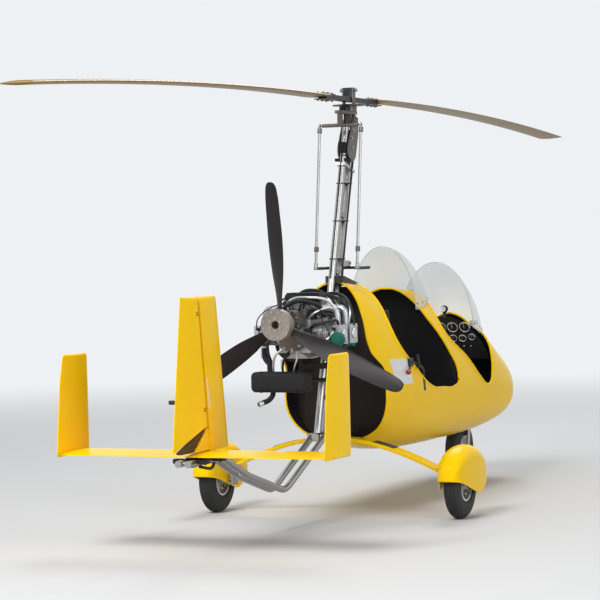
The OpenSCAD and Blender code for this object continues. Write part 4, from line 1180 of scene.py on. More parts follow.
@dataclass
class Wheels:
    """Tyres with rounded shoulders and grooves, spats, rim bolts and the step pads on the bow."""

    radius: float = 0.21
    width: float = 0.1
    rim: float = 0.1025
    main_x: float = -0.35
    nose_x: float = 1.99
    half_track: float = 0.83
    spat: np.ndarray = field(default_factory=lambda: np.array([
        (-0.256, .1, .262), (-0.25, .42, .318), (-0.228, .74, .358), (-0.175, .92, .405), (-0.1, .98, .438),
        (-0.02, 1, .452), (0.12, 1, .45), (0.26, .86, .405), (0.36, .6, .335), (0.42, .2, .265),
        (0.428, .05, .215)]))
    spat_half: float = 0.0838

    def build(self) -> None:
        """Makes the wheels and what covers them, and the black step pads on the bow."""
        pads = []
        for side in (1, -1):
            y = side * np.linspace(0.27, 0.41, 9)
            z = 0.4817 - 0.1817 * ((np.abs(y) - 0.1) / 0.6) ** 1.6 + 0.0135
            rings = [np.stack([x + 0 * y, y, z + lift], axis=1) for x, lift in
                     ((-0.398, -0.001), (-0.398, 0.0015), (-0.302, 0.0015), (-0.302, -0.001))]
            pads.append(skin(np.stack(rings, axis=1)))
        add_piece("step_pads", pads, RUBBER, "gear_bow")
        for word, x, y in (("nose_tyre", self.nose_x, 0.0), ("tyre_left", self.main_x, self.half_track),
                           ("tyre_right", self.main_x, -self.half_track)):
            add_piece(word + "_rubber", self._tyre(x, y), RUBBER, word, stands=True, smooth_deg=30)
            rim = word.replace("tyre", "rim")
            marks = []
            for side in (-1, 1):
                marks += bolt_ring((x, y + side * 0.0375, self.radius), (0, side, 0), 0.055, 6, 20, 0.006, 0.006)
            add_piece(rim + "_bolts", marks, MACHINED, rim)
        for word, y in (("left", self.half_track), ("right", -self.half_track)):
            self._cover(word, y)

    def _tyre(self, x: float, y: float) -> Patch:
        """A tyre: the cosine of the section's angle to 0.6 lifts it, and grooves run round the tread."""
        a = np.linspace(-np.pi / 2, np.pi / 2, 61)
        r = self.rim + 0.018 + (self.radius - self.rim - 0.018) * np.abs(np.cos(a)) ** 0.6
        w = self.width / 2 * np.sign(a) * np.abs(np.sin(a)) ** 0.8
        for groove in (-0.026, -0.009, 0.009, 0.026):
            r = r - 0.0045 * np.exp(-((w - groove) / 0.0022) ** 4)
        inner = self.rim + 0.0003
        profile = [(-0.036, inner), *zip(w, np.maximum(r, inner)), (0.036, inner), (-0.036, inner)]
        return lathe(profile, (x, y, self.radius), (0, 1, 0), 96)

    def _section(self, inset: float) -> np.ndarray:
        """Rings of the spat: half a circle above and half below, joined by straight sides."""
        table = flowing(self.spat, 5)
        turn = np.linspace(0, 2 * np.pi, 72, endpoint=False)
        r = np.maximum(self.spat_half * table[:, 1:2] - inset, 0.001)
        high = table[:, 2:3] - self.spat_half * table[:, 1:2]
        y = r * np.cos(turn)
        z = np.where(np.sin(turn) >= 0, np.maximum(high, 0.1), 0.1) + r * np.sin(turn)
        x = np.broadcast_to(table[:, :1], y.shape)
        squeeze = 1 - inset / 0.3
        return np.stack([x * squeeze + 0.02 * (1 - squeeze), y, z], axis=-1)

    def _cover(self, word: str, y: float) -> None:
        """One spat: its outer and inner skin, cut open below, with a rolled edge."""
        outer, inner = self._section(0), self._section(0.004)
        shift = np.array([self.main_x, y, 0])
        body, room = (skin(rings).moved(PLAIN_TURN, shift) for rings in (outer, inner))
        edge = flowing([(-0.42, 0.262), (-0.228, 0.25), (0.06, 0.168), (0.13, 0.15), (0.2, 0.16),
                        (0.425, 0.24), (0.6, 0.24)], 12)
        below = np.concatenate([edge, [[0.6, -0.05], [-0.42, -0.05]]]) + [self.main_x, 0]
        axle = lathe([(0.0, 0), (0.0, 0.0132), (0.2, 0.0132), (0.2, 0)], (self.main_x, y, self.radius),
                     (0, -1 if y > 0 else 1, 0), 24)
        piece = add_piece(f"spat_{word}_skin", body, YELLOW, f"spat_{word}", stands=True)
        carved(piece, [room, side_prism(below, 1.2), axle], 32)
        line = edge[(edge[:, 0] > -0.24) & (edge[:, 0] < 0.41)]
        table = flowing(self.spat, 5)
        wide = self.spat_half * np.interp(line[:, 0], table[:, 0], table[:, 1]) - 0.002
        path = np.concatenate([np.stack([line[:, 0], wide, line[:, 1]], axis=1),
                               np.stack([line[:, 0], -wide, line[:, 1]], axis=1)[::-1]])
        add_piece(f"spat_{word}_rim", tube(path + shift, 0.0035, 8, 1, closed=True), YELLOW, f"spat_{word}")


@dataclass
class Rotor:
    """The two main blades and the fittings at their roots."""

    radius: float = 4.2
    z: float = 2.64
    chord: float = 0.2
    thickness: float = 0.024
    first: float = 0.4403
    tip: float = 0.012
    cone: float = 0.0155
    droop: float = 0.01

    def build(self) -> None:
        """Makes the blades, which rise and then droop along their length, their tip caps, straps and bolts."""
        r = np.concatenate([np.linspace(self.first, self.radius - self.tip, 46),
                            self.radius - self.tip + self.tip * np.sin(np.linspace(0.2, np.pi / 2, 6))])
        lift = self.cone * r - self.droop * r ** 2
        cap = np.sqrt(1 - ((r - self.radius + self.tip) / self.tip).clip(0, 1) ** 2) * 0.98 + 0.02
        ring = foil_ring(34)
        blades = []
        for side in (1, -1):
            y = side * (-ring[None, :, 0] * self.chord + 0.06) + 0 * r[:, None]
            z = self.z + lift[:, None] + ring[None, :, 1] * self.thickness * cap[:, None]
            blades.append(skin(np.stack([side * r[:, None] + 0 * y, y, z], axis=-1)))
        add_piece("rotor_blade_skins", blades, BRONZE, "rotor_blades", stands=True, smooth_deg=50)
        straps, heads = [], []
        for side in (1, -1):
            for level in (-1, 1):
                straps.append(pillow((side * 0.4, 0, self.z + level * 0.018), (0.105, 0.03, 0.0032), 0.0015, 2))
            for k in range(6):
                spot = (side * (0.315 + 0.034 * k), (0.013 if k % 2 else -0.013), self.z + 0.0212)
                heads.append(bolt(spot, (0, 0, 1), 0.007, 0.008))
                heads.append(bolt((spot[0], spot[1], self.z - 0.0212), (0, 0, -1), 0.007, 0.008))
        add_piece("hub_straps", straps, PLATE, "hub_bar")
        add_piece("hub_bolts", heads, PLATE, "hub_bar")


@dataclass
class Propeller:
    """Three laminated blades with fine twisting sections, dark leading-edge strips and hub bolts."""

    place: tuple[float, float, float] = (-1.156, 0.0, 1.238)
    rows: np.ndarray = field(default_factory=lambda: np.array([
        (60.3, 46, 62, 30), (140, 78, 50, 24), (260, 112, 38, 18), (450, 126, 27, 13), (650, 110, 20, 9),
        (780, 92, 16, 7), (830, 74, 15, 6), (850, 50, 15, 5), (858, 20, 15, 3.4)], float))
    first_deg: float = -4.0

    def build(self) -> None:
        """Makes the blades and what holds them."""
        table = flowing(self.rows, 7) * [1e-3, 1e-3, np.pi / 180, 1e-3]
        r, chord, pitch, thick = (table[:, k:k + 1] for k in range(4))
        ring = foil_ring(34)
        u = (0.4 - ring[None, :, 0]) * chord
        v = ring[None, :, 1] * thick
        grid = np.stack([u * np.sin(pitch) - v * np.cos(pitch), u * np.cos(pitch) + v * np.sin(pitch), r + 0 * u],
                        axis=-1)
        turns = [turned(self.first_deg + 120 * k, "X") for k in range(3)]
        for name, patch, finish, stands in (
            ("propeller_blade_skins", skin(grid), CHARCOAL, True),
            ("propeller_edge_strips", tube(grid[12:-2:3, 33], 0.0022, 8, 2), CRINKLE, False),
        ):
            add_piece(name, [patch.moved(turn, self.place) for turn in turns], finish, "prop_blades", stands,
                      50 if stands else 40)
        face = (-1.2502, *self.place[1:])
        bolts = bolt_ring(face, (-1, 0, 0), 0.038, 6, 30, 0.007, 0.008)
        bolts += bolt_ring(face, (-1, 0, 0), 0.078, 12, 15, 0.0055, 0.006)
        add_piece("propeller_bolts", bolts, STAINLESS, "prop_hub")


@dataclass
class Cabin:
    """The board behind the front seat, the sticks, and the small things at the cockpit's edges."""

    board: np.ndarray = field(default_factory=lambda: in_metres((1010, 462), (960, 760), (800, 1140), (690, 1396)))

    def build(self, pod: Pod) -> None:
        """Makes the pieces."""
        line = flowing(self.board, 14)
        half = pod.side(line[:, 0], line[:, 1]) - pod.wall - 0.004
        share = np.linspace(-1, 1, 31)
        grid = np.stack([np.broadcast_to(line[:, :1], (len(line), 31)), half[:, None] * share,
                         np.broadcast_to(line[:, 1:], (len(line), 31))], axis=-1)
        thick_sheet("cockpit_divider", grid, 0.008, LINER, "cockpit_floor")
        sticks, knobs = [], []
        for x in (1.36, 0.6):
            path = [(x, 0, 0.462), (x + 0.03, 0, 0.56), (x + 0.01, 0, 0.66), (x - 0.03, 0, 0.76)]
            sticks.append(tube(path, 0.011, 12, 6))
            knobs.append(lathe([(0, 0.012), (0.01, 0.017), (0.05, 0.016), (0.09, 0.018), (0.11, 0.012), (0.114, 0)],
                               (x - 0.026, 0, 0.75), (-0.3, 0, 1), 20))
        sticks.append(tube([(1.18, 0.3, 0.462), (1.22, 0.3, 0.6), (1.27, 0.296, 0.7)], 0.009, 10, 6))
        add_piece("control_sticks", sticks, ENAMEL, "cockpit_floor")
        add_piece("stick_grips", knobs, HOSE, "cockpit_floor")
        add_piece("lever_knob", lathe([(-0.018, 0), (-0.014, 0.012), (0, 0.018), (0.014, 0.012), (0.018, 0)],
                                      (1.275, 0.296, 0.712), (0.3, 0, 1), 20), RED, "cockpit_floor")


@dataclass
class EngineBay:
    """What clutters the open engine: airbox, carburettors, fins, leads, hoses, springs and bolts."""

    crank: float = 1.165
    cylinders: tuple[float, float] = (-0.705, -0.865)
    filter_end: np.ndarray = field(default_factory=lambda: np.array([-0.885, -0.268, 1.138]))
    pipes: tuple = (
        ((-915, 90, 1300), (-925, 40, 1375), (-920, -80, 1392), (-880, -190, 1370), (-865, -238, 1320)),
        ((-650, -60, 1300), (-640, -150, 1360), (-660, -235, 1350), (-700, -262, 1290), (-705, -250, 1222)),
        ((-950, -70, 1245), (-975, -140, 1300), (-930, -210, 1330), (-830, -225, 1300), (-790, -160, 1262)),
        ((-955, -100, 1130), (-975, -165, 1120), (-950, -225, 1150), (-932, -245, 1180)),
        ((-990, 60, 1090), (-1010, 110, 1040), (-995, 130, 980), (-985, 135, 940)),
        ((-990, -20, 1075), (-1005, -30, 1020), (-995, -10, 970), (-985, 0, 940)),
        ((-630, 30, 1290), (-600, -40, 1330), (-605, -150, 1330), (-640, -215, 1270)))
    hoses: tuple = (
        ((-940, 70, 1262), (-975, 60, 1330), (-950, -30, 1372), (-900, -120, 1352), (-830, -150, 1300)),
        ((-600, 60, 1280), (-575, -20, 1392), (-590, -140, 1405), (-640, -230, 1350), (-660, -255, 1250)),
        ((-955, -95, 1200), (-985, -150, 1230), (-960, -220, 1245), (-900, -255, 1250), (-865, -250, 1224)),
        ((-930, -105, 1090), (-960, -160, 1060), (-930, -215, 1070), (-880, -235, 1105)),
        ((-790, -110, 1080), (-800, -180, 1050), (-775, -235, 1075), (-740, -248, 1107)),
        ((-640, -110, 1200), (-610, -190, 1220), (-600, -200, 1120), (-580, -120, 1060), (-575, -60, 1050)),
        ((-1000, 80, 1160), (-1030, 140, 1130), (-1000, 160, 1060), (-960, 150, 985)),
        ((-990, 20, 1075), (-1020, 40, 1030), (-1010, 60, 985), (-990, 70, 940)))

    def build(self) -> None:
        """Makes the engine's fittings."""
        self._airbox()
        self._barrels()
        self._leads()
        self._hoses()
        self._clutter()
        self._fasteners()

    def _airbox(self) -> None:
        """A black box on two carburettors, with clips, and the oil tank beside the gearbox."""
        add_piece("airbox_shell", [pillow((-0.775, 0, 1.392), (0.07, 0.118, 0.022), 0.02, 5),
                                   pillow((-0.775, 0, 1.414), (0.06, 0.106, 0.006), 0.005, 2)], CRINKLE, "intake")
        bowls = []
        for side in (-1, 1):
            at = (-0.785, side * 0.112, 1.3)
            bowls.append(lathe([(0, 0), (0, 0.024), (0.006, 0.029), (0.028, 0.03), (0.032, 0.034), (0.046, 0.034),
                                (0.05, 0.026), (0.078, 0.026), (0.082, 0.031), (0.09, 0.031), (0.09, 0)],
                               at, (0, 0, 1), 32))
            bowls.append(lathe([(0, 0), (0, 0.022), (0.052, 0.022), (0.052, 0)], (at[0], side * 0.055, 1.33),
                               (0, side, 0), 24))
            for x in (-0.825, -0.745):
                bowls.append(bolt((x, side * 0.1, 1.392), (0, 0, 1), 0.005, 0.006))
        add_piece("carburettors", bowls, PLATE, "intake")
        arches = []
        for k in range(4):
            path = in_metres((-700, -290 + 30 * k, 1215), (-690, -250 + 30 * k, 1350),
                             (-685, -120 + 20 * k, 1398 + 9 * k), (-690, 60, 1402 + 7 * k),
                             (-695, 200 - 30 * k, 1370), (-705, 250 - 30 * k, 1225))
            arches.append(tube(path, 0.006 + 0.002 * (k % 2), 12, 6))
        add_piece("top_hoses", arches, HOSE, "intake")
        tank = lathe([(0, 0), (0, 0.044), (0.006, 0.05), (0.15, 0.05), (0.16, 0.044), (0.164, 0.02),
                      (0.176, 0.02), (0.18, 0.012), (0.18, 0)], (-0.7, -0.15, 0.985), (0, 0, 1), 36)
        add_piece("oil_tank", tank, PLATE, "engine_case")
        cap = lathe([(0, 0), (0, 0.036), (0.02, 0.036), (0.05, 0.034), (0.062, 0.026), (0.066, 0)],
                    (-0.905, 0.0, 1.258), (0, 0, 1), 32)
        add_piece("coolant_pot", cap, MACHINED, "engine_case")
        starter = [
            lathe([(0, 0), (0, 0.036), (0.004, 0.04), (0.12, 0.04), (0.126, 0.03), (0.15, 0.03), (0.15, 0)],
                  (-0.8, 0.072, 1.058), (-1, 0, 0), 32),
            lathe([(0, 0), (0, 0.02), (0.08, 0.02), (0.08, 0)], (-0.82, 0.1, 1.105), (-1, 0, 0), 24)]
        add_piece("starter_motor", starter, ENAMEL, "engine_case")

    def _barrels(self) -> None:
        """Cooling fins on the four barrels: a comb profile turned about each barrel's axis."""
        for side, word in ((1, "left"), (-1, "right")):
            fins = []
            for x in self.cylinders:
                comb = [(0.11, 0.052)]
                for k in range(11):
                    y = 0.114 + 0.0098 * k
                    comb += [(y, 0.053), (y + 0.0014, 0.066), (y + 0.0042, 0.066), (y + 0.0056, 0.053)]
                comb += [(0.222, 0.052)]
                comb = [(0.11, 0.0)] + comb + [(0.222, 0.0)]
                fins.append(lathe(comb, (x, 0, self.crank), (0, side, 0), 40))
            add_piece(f"barrel_fins_{word}", fins, CAST, f"cylinders_{word}")
            cover = []
            for x in self.cylinders:
                for dx in (-0.045, 0.045):
                    for dz in (-0.042, 0.042):
                        cover.append(bolt((x + dx, side * 0.2852, self.crank + dz), (0, side, 0), 0.0055, 0.006))
                cover.append(lathe([(0, 0), (0, 0.028), (0.003, 0.03), (0.009, 0.026), (0.01, 0)],
                                   (x, side * 0.2848, self.crank), (0, side, 0), 28))
            add_piece(f"valve_cover_fittings_{word}", cover, MACHINED, f"cylinders_{word}")

    def _leads(self) -> None:
        """Ignition leads from a coil box to the heads, with their plug caps."""
        add_piece("coil_box", [pillow((-0.925, 0.0, 1.292), (0.018, 0.06, 0.03), 0.005, 3),
                               pillow((-0.925, 0.0, 1.255), (0.012, 0.03, 0.012), 0.003, 2)], CRINKLE, "engine_case")
        leads, caps = [], []
        for side in (1, -1):
            for n, x in enumerate(self.cylinders):
                for m, dz in enumerate((0.035, -0.03)):
                    start = (-0.925 + 0.01 * n, side * (0.018 + 0.022 * m), 1.32)
                    end = (x - 0.067, side * (0.25 - 0.012 * m), self.crank + dz)
                    path = [start, (start[0] - 0.012, start[1] + side * 0.02, 1.362 - 0.012 * n),
                            (x - 0.1, side * 0.15, 1.318 - 0.03 * m + 0.016 * n),
                            (end[0] - 0.045, end[1] - side * 0.01, end[2] + 0.055), (end[0] - 0.03, end[1], end[2])]
                    leads.append(tube(path, 0.0036, 8, 7))
                    caps.append(lathe([(0, 0), (0, 0.01), (0.018, 0.009), (0.034, 0.0065), (0.034, 0)], end,
                                      (-1, 0, 0.1), 14))
        add_piece("ignition_leads", leads, HOSE, "engine_case")
        add_piece("plug_caps", caps, CRINKLE, "engine_case")

    def _hoses(self) -> None:
        """Coolant and oil hoses, the throttle cables and their clips."""
        hoses, clips = [], []
        for side in (1, -1):
            for x in self.cylinders:
                path = [(x + 0.028, side * 0.235, 1.222), (x + 0.03, side * 0.225, 1.262),
                        (x + 0.02, side * 0.13, 1.292), (-0.905, side * 0.03, 1.3)]
                hoses.append(tube(path, 0.0105, 12, 8))
                clips.append(self._clip(path[0], (0, 0, 1), 0.0108, 0.008))
            low = [(self.cylinders[0], side * 0.235, 1.107), (self.cylinders[0], side * 0.215, 1.05),
                   (-0.66, side * 0.13, 1.0), (-0.6, side * 0.09, 1.02), (-0.575, side * 0.08, 1.07)]
            hoses.append(tube(low, 0.013, 12, 8))
            clips.append(self._clip(low[0], (0, 0, -1), 0.0132, 0.01))
        for path in (((-700, -150, 1168), (-700, -160, 1200), (-660, -120, 1235), (-640, -70, 1220)),
                     ((-655, -150, 1000), (-610, -130, 990), (-610, -60, 1030), (-640, -30, 1060))):
            hoses.append(tube(in_metres(*path), 0.009, 10, 8))
        add_piece("coolant_hoses", hoses, HOSE, "engine_case")
        add_piece("hose_clips", clips, STAINLESS, "engine_case")
        braid = [tube(in_metres(*path), radius, 10, 8) for radius, path in (
            (0.006, ((-635, 60, 1100), (-600, 120, 1130), (-620, 160, 1220), (-740, 135, 1310))),
            (0.007, ((-930, -40, 1060), (-985, -120, 1030), (-970, -190, 1060), (-900, -160, 1140))))]
        add_piece("braided_lines", braid, BRAID, "engine_case")

    def _clip(self, place: tuple, axis: tuple, radius: float, width: float) -> Patch:
        """A hose clip: a band 2 mm high round a hose."""
        return lathe([(0, radius), (0, radius + 0.002), (width, radius + 0.002), (width, radius)], place, axis, 20)

    def _clutter(self) -> None:
        """The pipes, hoses, boxes and canisters that crowd the engine's starboard side and its top."""
        add_piece("silver_pipes", [tube(in_metres(*path), 0.0085 - 0.0012 * (n % 3), 12, 8)
                                   for n, path in enumerate(self.pipes)], MACHINED, "engine_case")
        add_piece("black_hoses", [tube(in_metres(*path), 0.0125 - 0.0018 * (n % 4), 12, 8)
                                  for n, path in enumerate(self.hoses)], HOSE, "engine_case")
        boxes = [pillow((-0.905, -0.088, 1.282), (0.034, 0.03, 0.024), 0.006, 3),
                 pillow((-0.985, -0.104, 1.165), (0.026, 0.016, 0.042), 0.006, 3),
                 pillow((-0.985, 0.104, 1.165), (0.026, 0.016, 0.042), 0.006, 3),
                 pillow((-0.64, 0.0, 1.296), (0.03, 0.07, 0.036), 0.006, 3),
                 pillow((-0.905, 0.075, 1.28), (0.03, 0.022, 0.022), 0.005, 3)]
        add_piece("electric_boxes", boxes, CRINKLE, "engine_case")
        cans = [lathe([(0, 0), (0, 0.022), (0.004, 0.025), (0.05, 0.025), (0.056, 0.018), (0.066, 0.018), (0.066, 0)],
                      (-0.945, -0.055, 1.258), (0, 0, 1), 24),
                lathe([(0, 0), (0, 0.03), (0.004, 0.034), (0.07, 0.034), (0.078, 0.026), (0.078, 0)],
                      (-0.7, -0.104, 1.12), (-0.15, -1, 0), 28),
                lathe([(0, 0), (0, 0.016), (0.03, 0.016), (0.034, 0.009), (0.06, 0.009), (0.06, 0)],
                      (-0.962, 0.03, 1.262), (-0.3, 0, 1), 20)]
        add_piece("engine_canisters", cans, PLATE, "engine_case")
        along = np.array([0.0, 0.0, 0.006, 0.02, 0.06, 0.074, 0.08, 0.08])[:, None]
        wide = np.array([0.0, 0.026, 0.038, 0.043, 0.043, 0.038, 0.026, 0.0])[:, None]
        turn = np.linspace(0, 2 * np.pi, 160, endpoint=False)
        pleat = wide * (1 + 0.055 * np.sin(20 * turn))
        drum = np.stack([0 * pleat - along, pleat * np.cos(turn), pleat * np.sin(turn)], axis=-1) + self.filter_end
        add_piece("cloth_filter", skin(drum, caps=False), TEAL, "air_filters", smooth_deg=60)
        neck = lathe([(0, 0), (0, 0.018), (0.035, 0.018), (0.035, 0)], self.filter_end - [0.005, 0, 0], (1, 0, 0.2), 20)
        add_piece("filter_neck", neck, MACHINED, "air_filters")

    def _fasteners(self) -> None:
        """Bolts round the gearbox flange and the case, and springs on the exhaust's joints."""
        heads = bolt_ring((-1.0302, 0, self.crank), (-1, 0, 0), 0.086, 10, 10, 0.006, 0.006)
        heads += bolt_ring((-1.0622, 0, 1.238), (-1, 0, 0), 0.07, 8, 12, 0.005, 0.006)
        for x in (-0.94, -0.87, -0.79, -0.71, -0.65):
            for side in (-1, 1):
                heads.append(bolt((x, side * 0.088, 1.2602), (0, 0, 1), 0.006, 0.006))
                heads.append(bolt((x, side * 0.1052, 1.076), (0, side, 0), 0.006, 0.006))
        add_piece("case_bolts", heads, STAINLESS, "engine_case")
        coils = []
        for side in (1, -1):
            for turn in (0.0, 1.6):
                x, y = -0.865 + 0.024 * math.cos(turn), side * 0.24 + 0.024 * math.sin(turn)
                coils.append(spring((x, y, 1.085), (x, y, 1.02), 0.006, 0.0012, 10))
        coils.append(spring((-0.934, 0.1, 0.955), (-0.934, 0.1, 1.015), 0.007, 0.0013, 10))
        add_piece("exhaust_springs", coils, STAINLESS, "silencer")
        can = [pillow((-1.0, 0.075, 0.8825), (0.06, 0.187, 0.0625), 0.03, 6)]
        for side in (1, -1):
            can.append(tube([(-0.865, side * 0.24, 1.1068), (-0.865, side * 0.24, 1.02), (-0.89, side * 0.2, 0.985),
                             (-0.955, side * 0.11 + 0.06, 0.965), (-0.985, side * 0.09 + 0.06, 0.93)], 0.018, 16, 8))
        can.append(tube([(-1.0, 0.13, 0.835), (-1.004, 0.135, 0.8), (-1.02, 0.15, 0.775), (-1.06, 0.18, 0.757)],
                        0.016, 16, 8))
        add_piece("silencer_can", can, CRINKLE, "silencer", stands=True)
        bands = [pillow((-1.0, y, 0.8825), (0.0612, 0.003, 0.0637), 0.0025, 6) for y in (-0.04, 0.19)]
        add_piece("silencer_straps", bands, ENAMEL, "silencer")
        joint = [(0, 0.0182), (0, 0.021), (0.012, 0.021), (0.012, 0.0182)]
        ends = [lathe(joint, (-0.865, side * 0.24, 1.096), (0, 0, -1), 24) for side in (1, -1)]
        ends.append(lathe([(0, 0.013), (0, 0.0165), (0.03, 0.0165), (0.03, 0.013), (0, 0.013)],
                          (-1.058, 0.179, 0.758), (-0.8, 0.5, -0.33), 24))
        add_piece("exhaust_collars", ends, MACHINED, "silencer")


@dataclass
class HeadFittings:
    """Bolts, collars, the toothed ring's drive and the lines that climb the mast."""

    mast_foot: tuple[float, float] = (-0.585, 0.52)
    mast_slope: float = 0.3005
    ring_z: tuple[float, float] = (2.6004, 2.6064)

    def build(self) -> None:
        """Makes the fittings on the rotor head and the mast."""
        heads = [bolt((x, side * 0.0385, z), (0, side, 0), 0.008, 0.008) for side in (-1, 1)
                 for x, z in ((0.01, 2.5), (-0.03, 2.44), (-0.06, 2.39), (-0.048, 2.33))]
        add_piece("head_plate_bolts", heads, STAINLESS, "head_plates")
        ring = bolt_ring((0, 0, 2.6001), (0, 0, 1), 0.041, 8, 22, 0.004, 0.004)
        add_piece("bearing_bolts", ring, MACHINED, "rotor_head")
        nuts = [bolt((0, side * 0.0502, 2.7), (0, side, 0), 0.01, 0.01) for side in (-1, 1)]
        add_piece("teeter_nuts", nuts, STAINLESS, "teeter_tower")
        profile = [(0, 0.0), (0, 0.013), (0.004, 0.015), (0.03, 0.015), (0.034, 0.011), (0.034, 0)]
        for side, rod in ((-1, "push_rod_right"), (1, "push_rod_left")):
            caps = [lathe(profile, (-0.155, side * 0.142, 2.455), (-0.115, 0, -0.91), 20),
                    lathe(profile, (-0.2537, side * 0.142, 1.665), (0.115, 0, 0.91), 20)]
            add_piece(f"rod_collars_{rod}", caps, PLATE, rod)
        self._mast_lines()
        self._toothed_ring()
        self._blocks()

    def _mast_x(self, z: np.ndarray) -> np.ndarray:
        """Place of the leaning mast's middle at a height."""
        return self.mast_foot[0] + (z - self.mast_foot[1]) * self.mast_slope

    def _mast_lines(self) -> None:
        """Five lines that climb the mast, each a little wavy, and their clips."""
        lines, clips = [], []
        z = np.array([1.5, 1.75, 2.0, 2.2, 2.33])
        for n, (dx, y) in enumerate(((0.086, 0.012), (0.086, -0.012), (0.028, 0.032), (0.028, -0.032), (-0.082, 0.0))):
            x = self._mast_x(z) + dx + 0.004 * np.sin(z * 9 + n)
            lines.append(tube(np.stack([x, y + 0 * z, z], axis=1), 0.0055 - 0.0006 * (n % 3), 8, 6))
        for height in (1.62, 1.86, 2.1, 2.28):
            clips.append(pillow((self._mast_x(height) + 0.002, 0, height), (0.084, 0.0232, 0.003), 0.002, 2))
        add_piece("mast_lines", lines, HOSE, "mast")
        add_piece("mast_line_clips", clips, CRINKLE, "mast")

    def _toothed_ring(self) -> None:
        """The ring of 96 teeth that spins the rotor up, and its motor."""
        motor = [
            lathe([(0, 0), (0, 0.024), (0.004, 0.028), (0.075, 0.028), (0.08, 0.02), (0.092, 0.012), (0.1, 0.012),
                   (0.1, 0)], (0.078, 0.0, 2.45), (0, 0, 1), 28),
            pillow((0.045, 0, 2.5), (0.04, 0.02, 0.008), 0.003, 2)]
        add_piece("spin_up_motor", motor, ENAMEL, "head_plates")
        turn = np.linspace(0, 2 * np.pi, 576, endpoint=False)
        teeth = 0.104 + 0.0035 * np.clip(3 * np.sin(96 * turn), -1, 1)
        low, high = self.ring_z
        rings = [np.stack([radius * np.cos(turn), radius * np.sin(turn), z + 0 * turn], axis=1)
                 for radius, z in ((0.03, low), (teeth, low), (teeth, high), (0.03, high))]
        add_piece("toothed_ring", skin(np.stack(rings + rings[:1]), caps=False), PLATE, "teeter_tower", smooth_deg=25)

    def _blocks(self) -> None:
        """The rotor brake with its springs, and the blocks between the head plates."""
        brake = [pillow((-0.075, 0.0, 2.5815), (0.034, 0.024, 0.013), 0.004, 3),
                 pillow((0.052, 0.03, 2.5815), (0.028, 0.016, 0.012), 0.004, 3),
                 spring((-0.075, 0.03, 2.575), (-0.075, 0.03, 2.5), 0.008, 0.0016, 12),
                 spring((-0.12, -0.02, 2.545), (-0.12, -0.02, 2.47), 0.009, 0.0018, 12)]
        add_piece("rotor_brake", brake, ENAMEL, "rotor_head")
        blocks = [pillow((-0.052, 0, 2.3), (0.05, 0.034, 0.02), 0.006, 3),
                  pillow((-0.115, 0.0, 2.33), (0.026, 0.026, 0.034), 0.006, 3),
                  pillow((0.02, 0.0, 2.395), (0.02, 0.024, 0.028), 0.005, 3),
                  pillow((-0.12, 0.0, 2.25), (0.02, 0.05, 0.01), 0.004, 3)]
        add_piece("head_blocks", blocks, CRINKLE, "head_plates")


@dataclass
class CadDress:
    """Gives every CAD node that no built piece stands for its finish and rounded edges."""

    edges: dict[str, float] = field(default_factory=lambda: {
        "gear_bow": 0.006, "engine_case": 0.004, "gearbox": 0.003, "cylinders_left": 0.005,
        "cylinders_right": 0.005, "intake": 0.003, "air_filters": 0.006, "mast_cover": 0.004})
    finishes: dict[str, Finish] = field(default_factory=lambda: {
        "mast_cover": ENAMEL, "prop_hub": DISC, "head_plates": PLATE, "rotor_head": PLATE, "teeter_tower": PLATE,
        "gimbal_block": PLATE, "gearbox": PLATE, "cockpit_floor": LINER, "instrument_panel": CRINKLE})

    def build(self) -> None:
        """Makes one refined copy a node that is still shown."""
        for node in sorted(frame["nodes"]):
            if not frame["nodes"][node].hide_render:
                refined(node, self.finishes.get(node, SLOT_FINISH[SLOTS[node]]), self.edges.get(node, 0.0012))


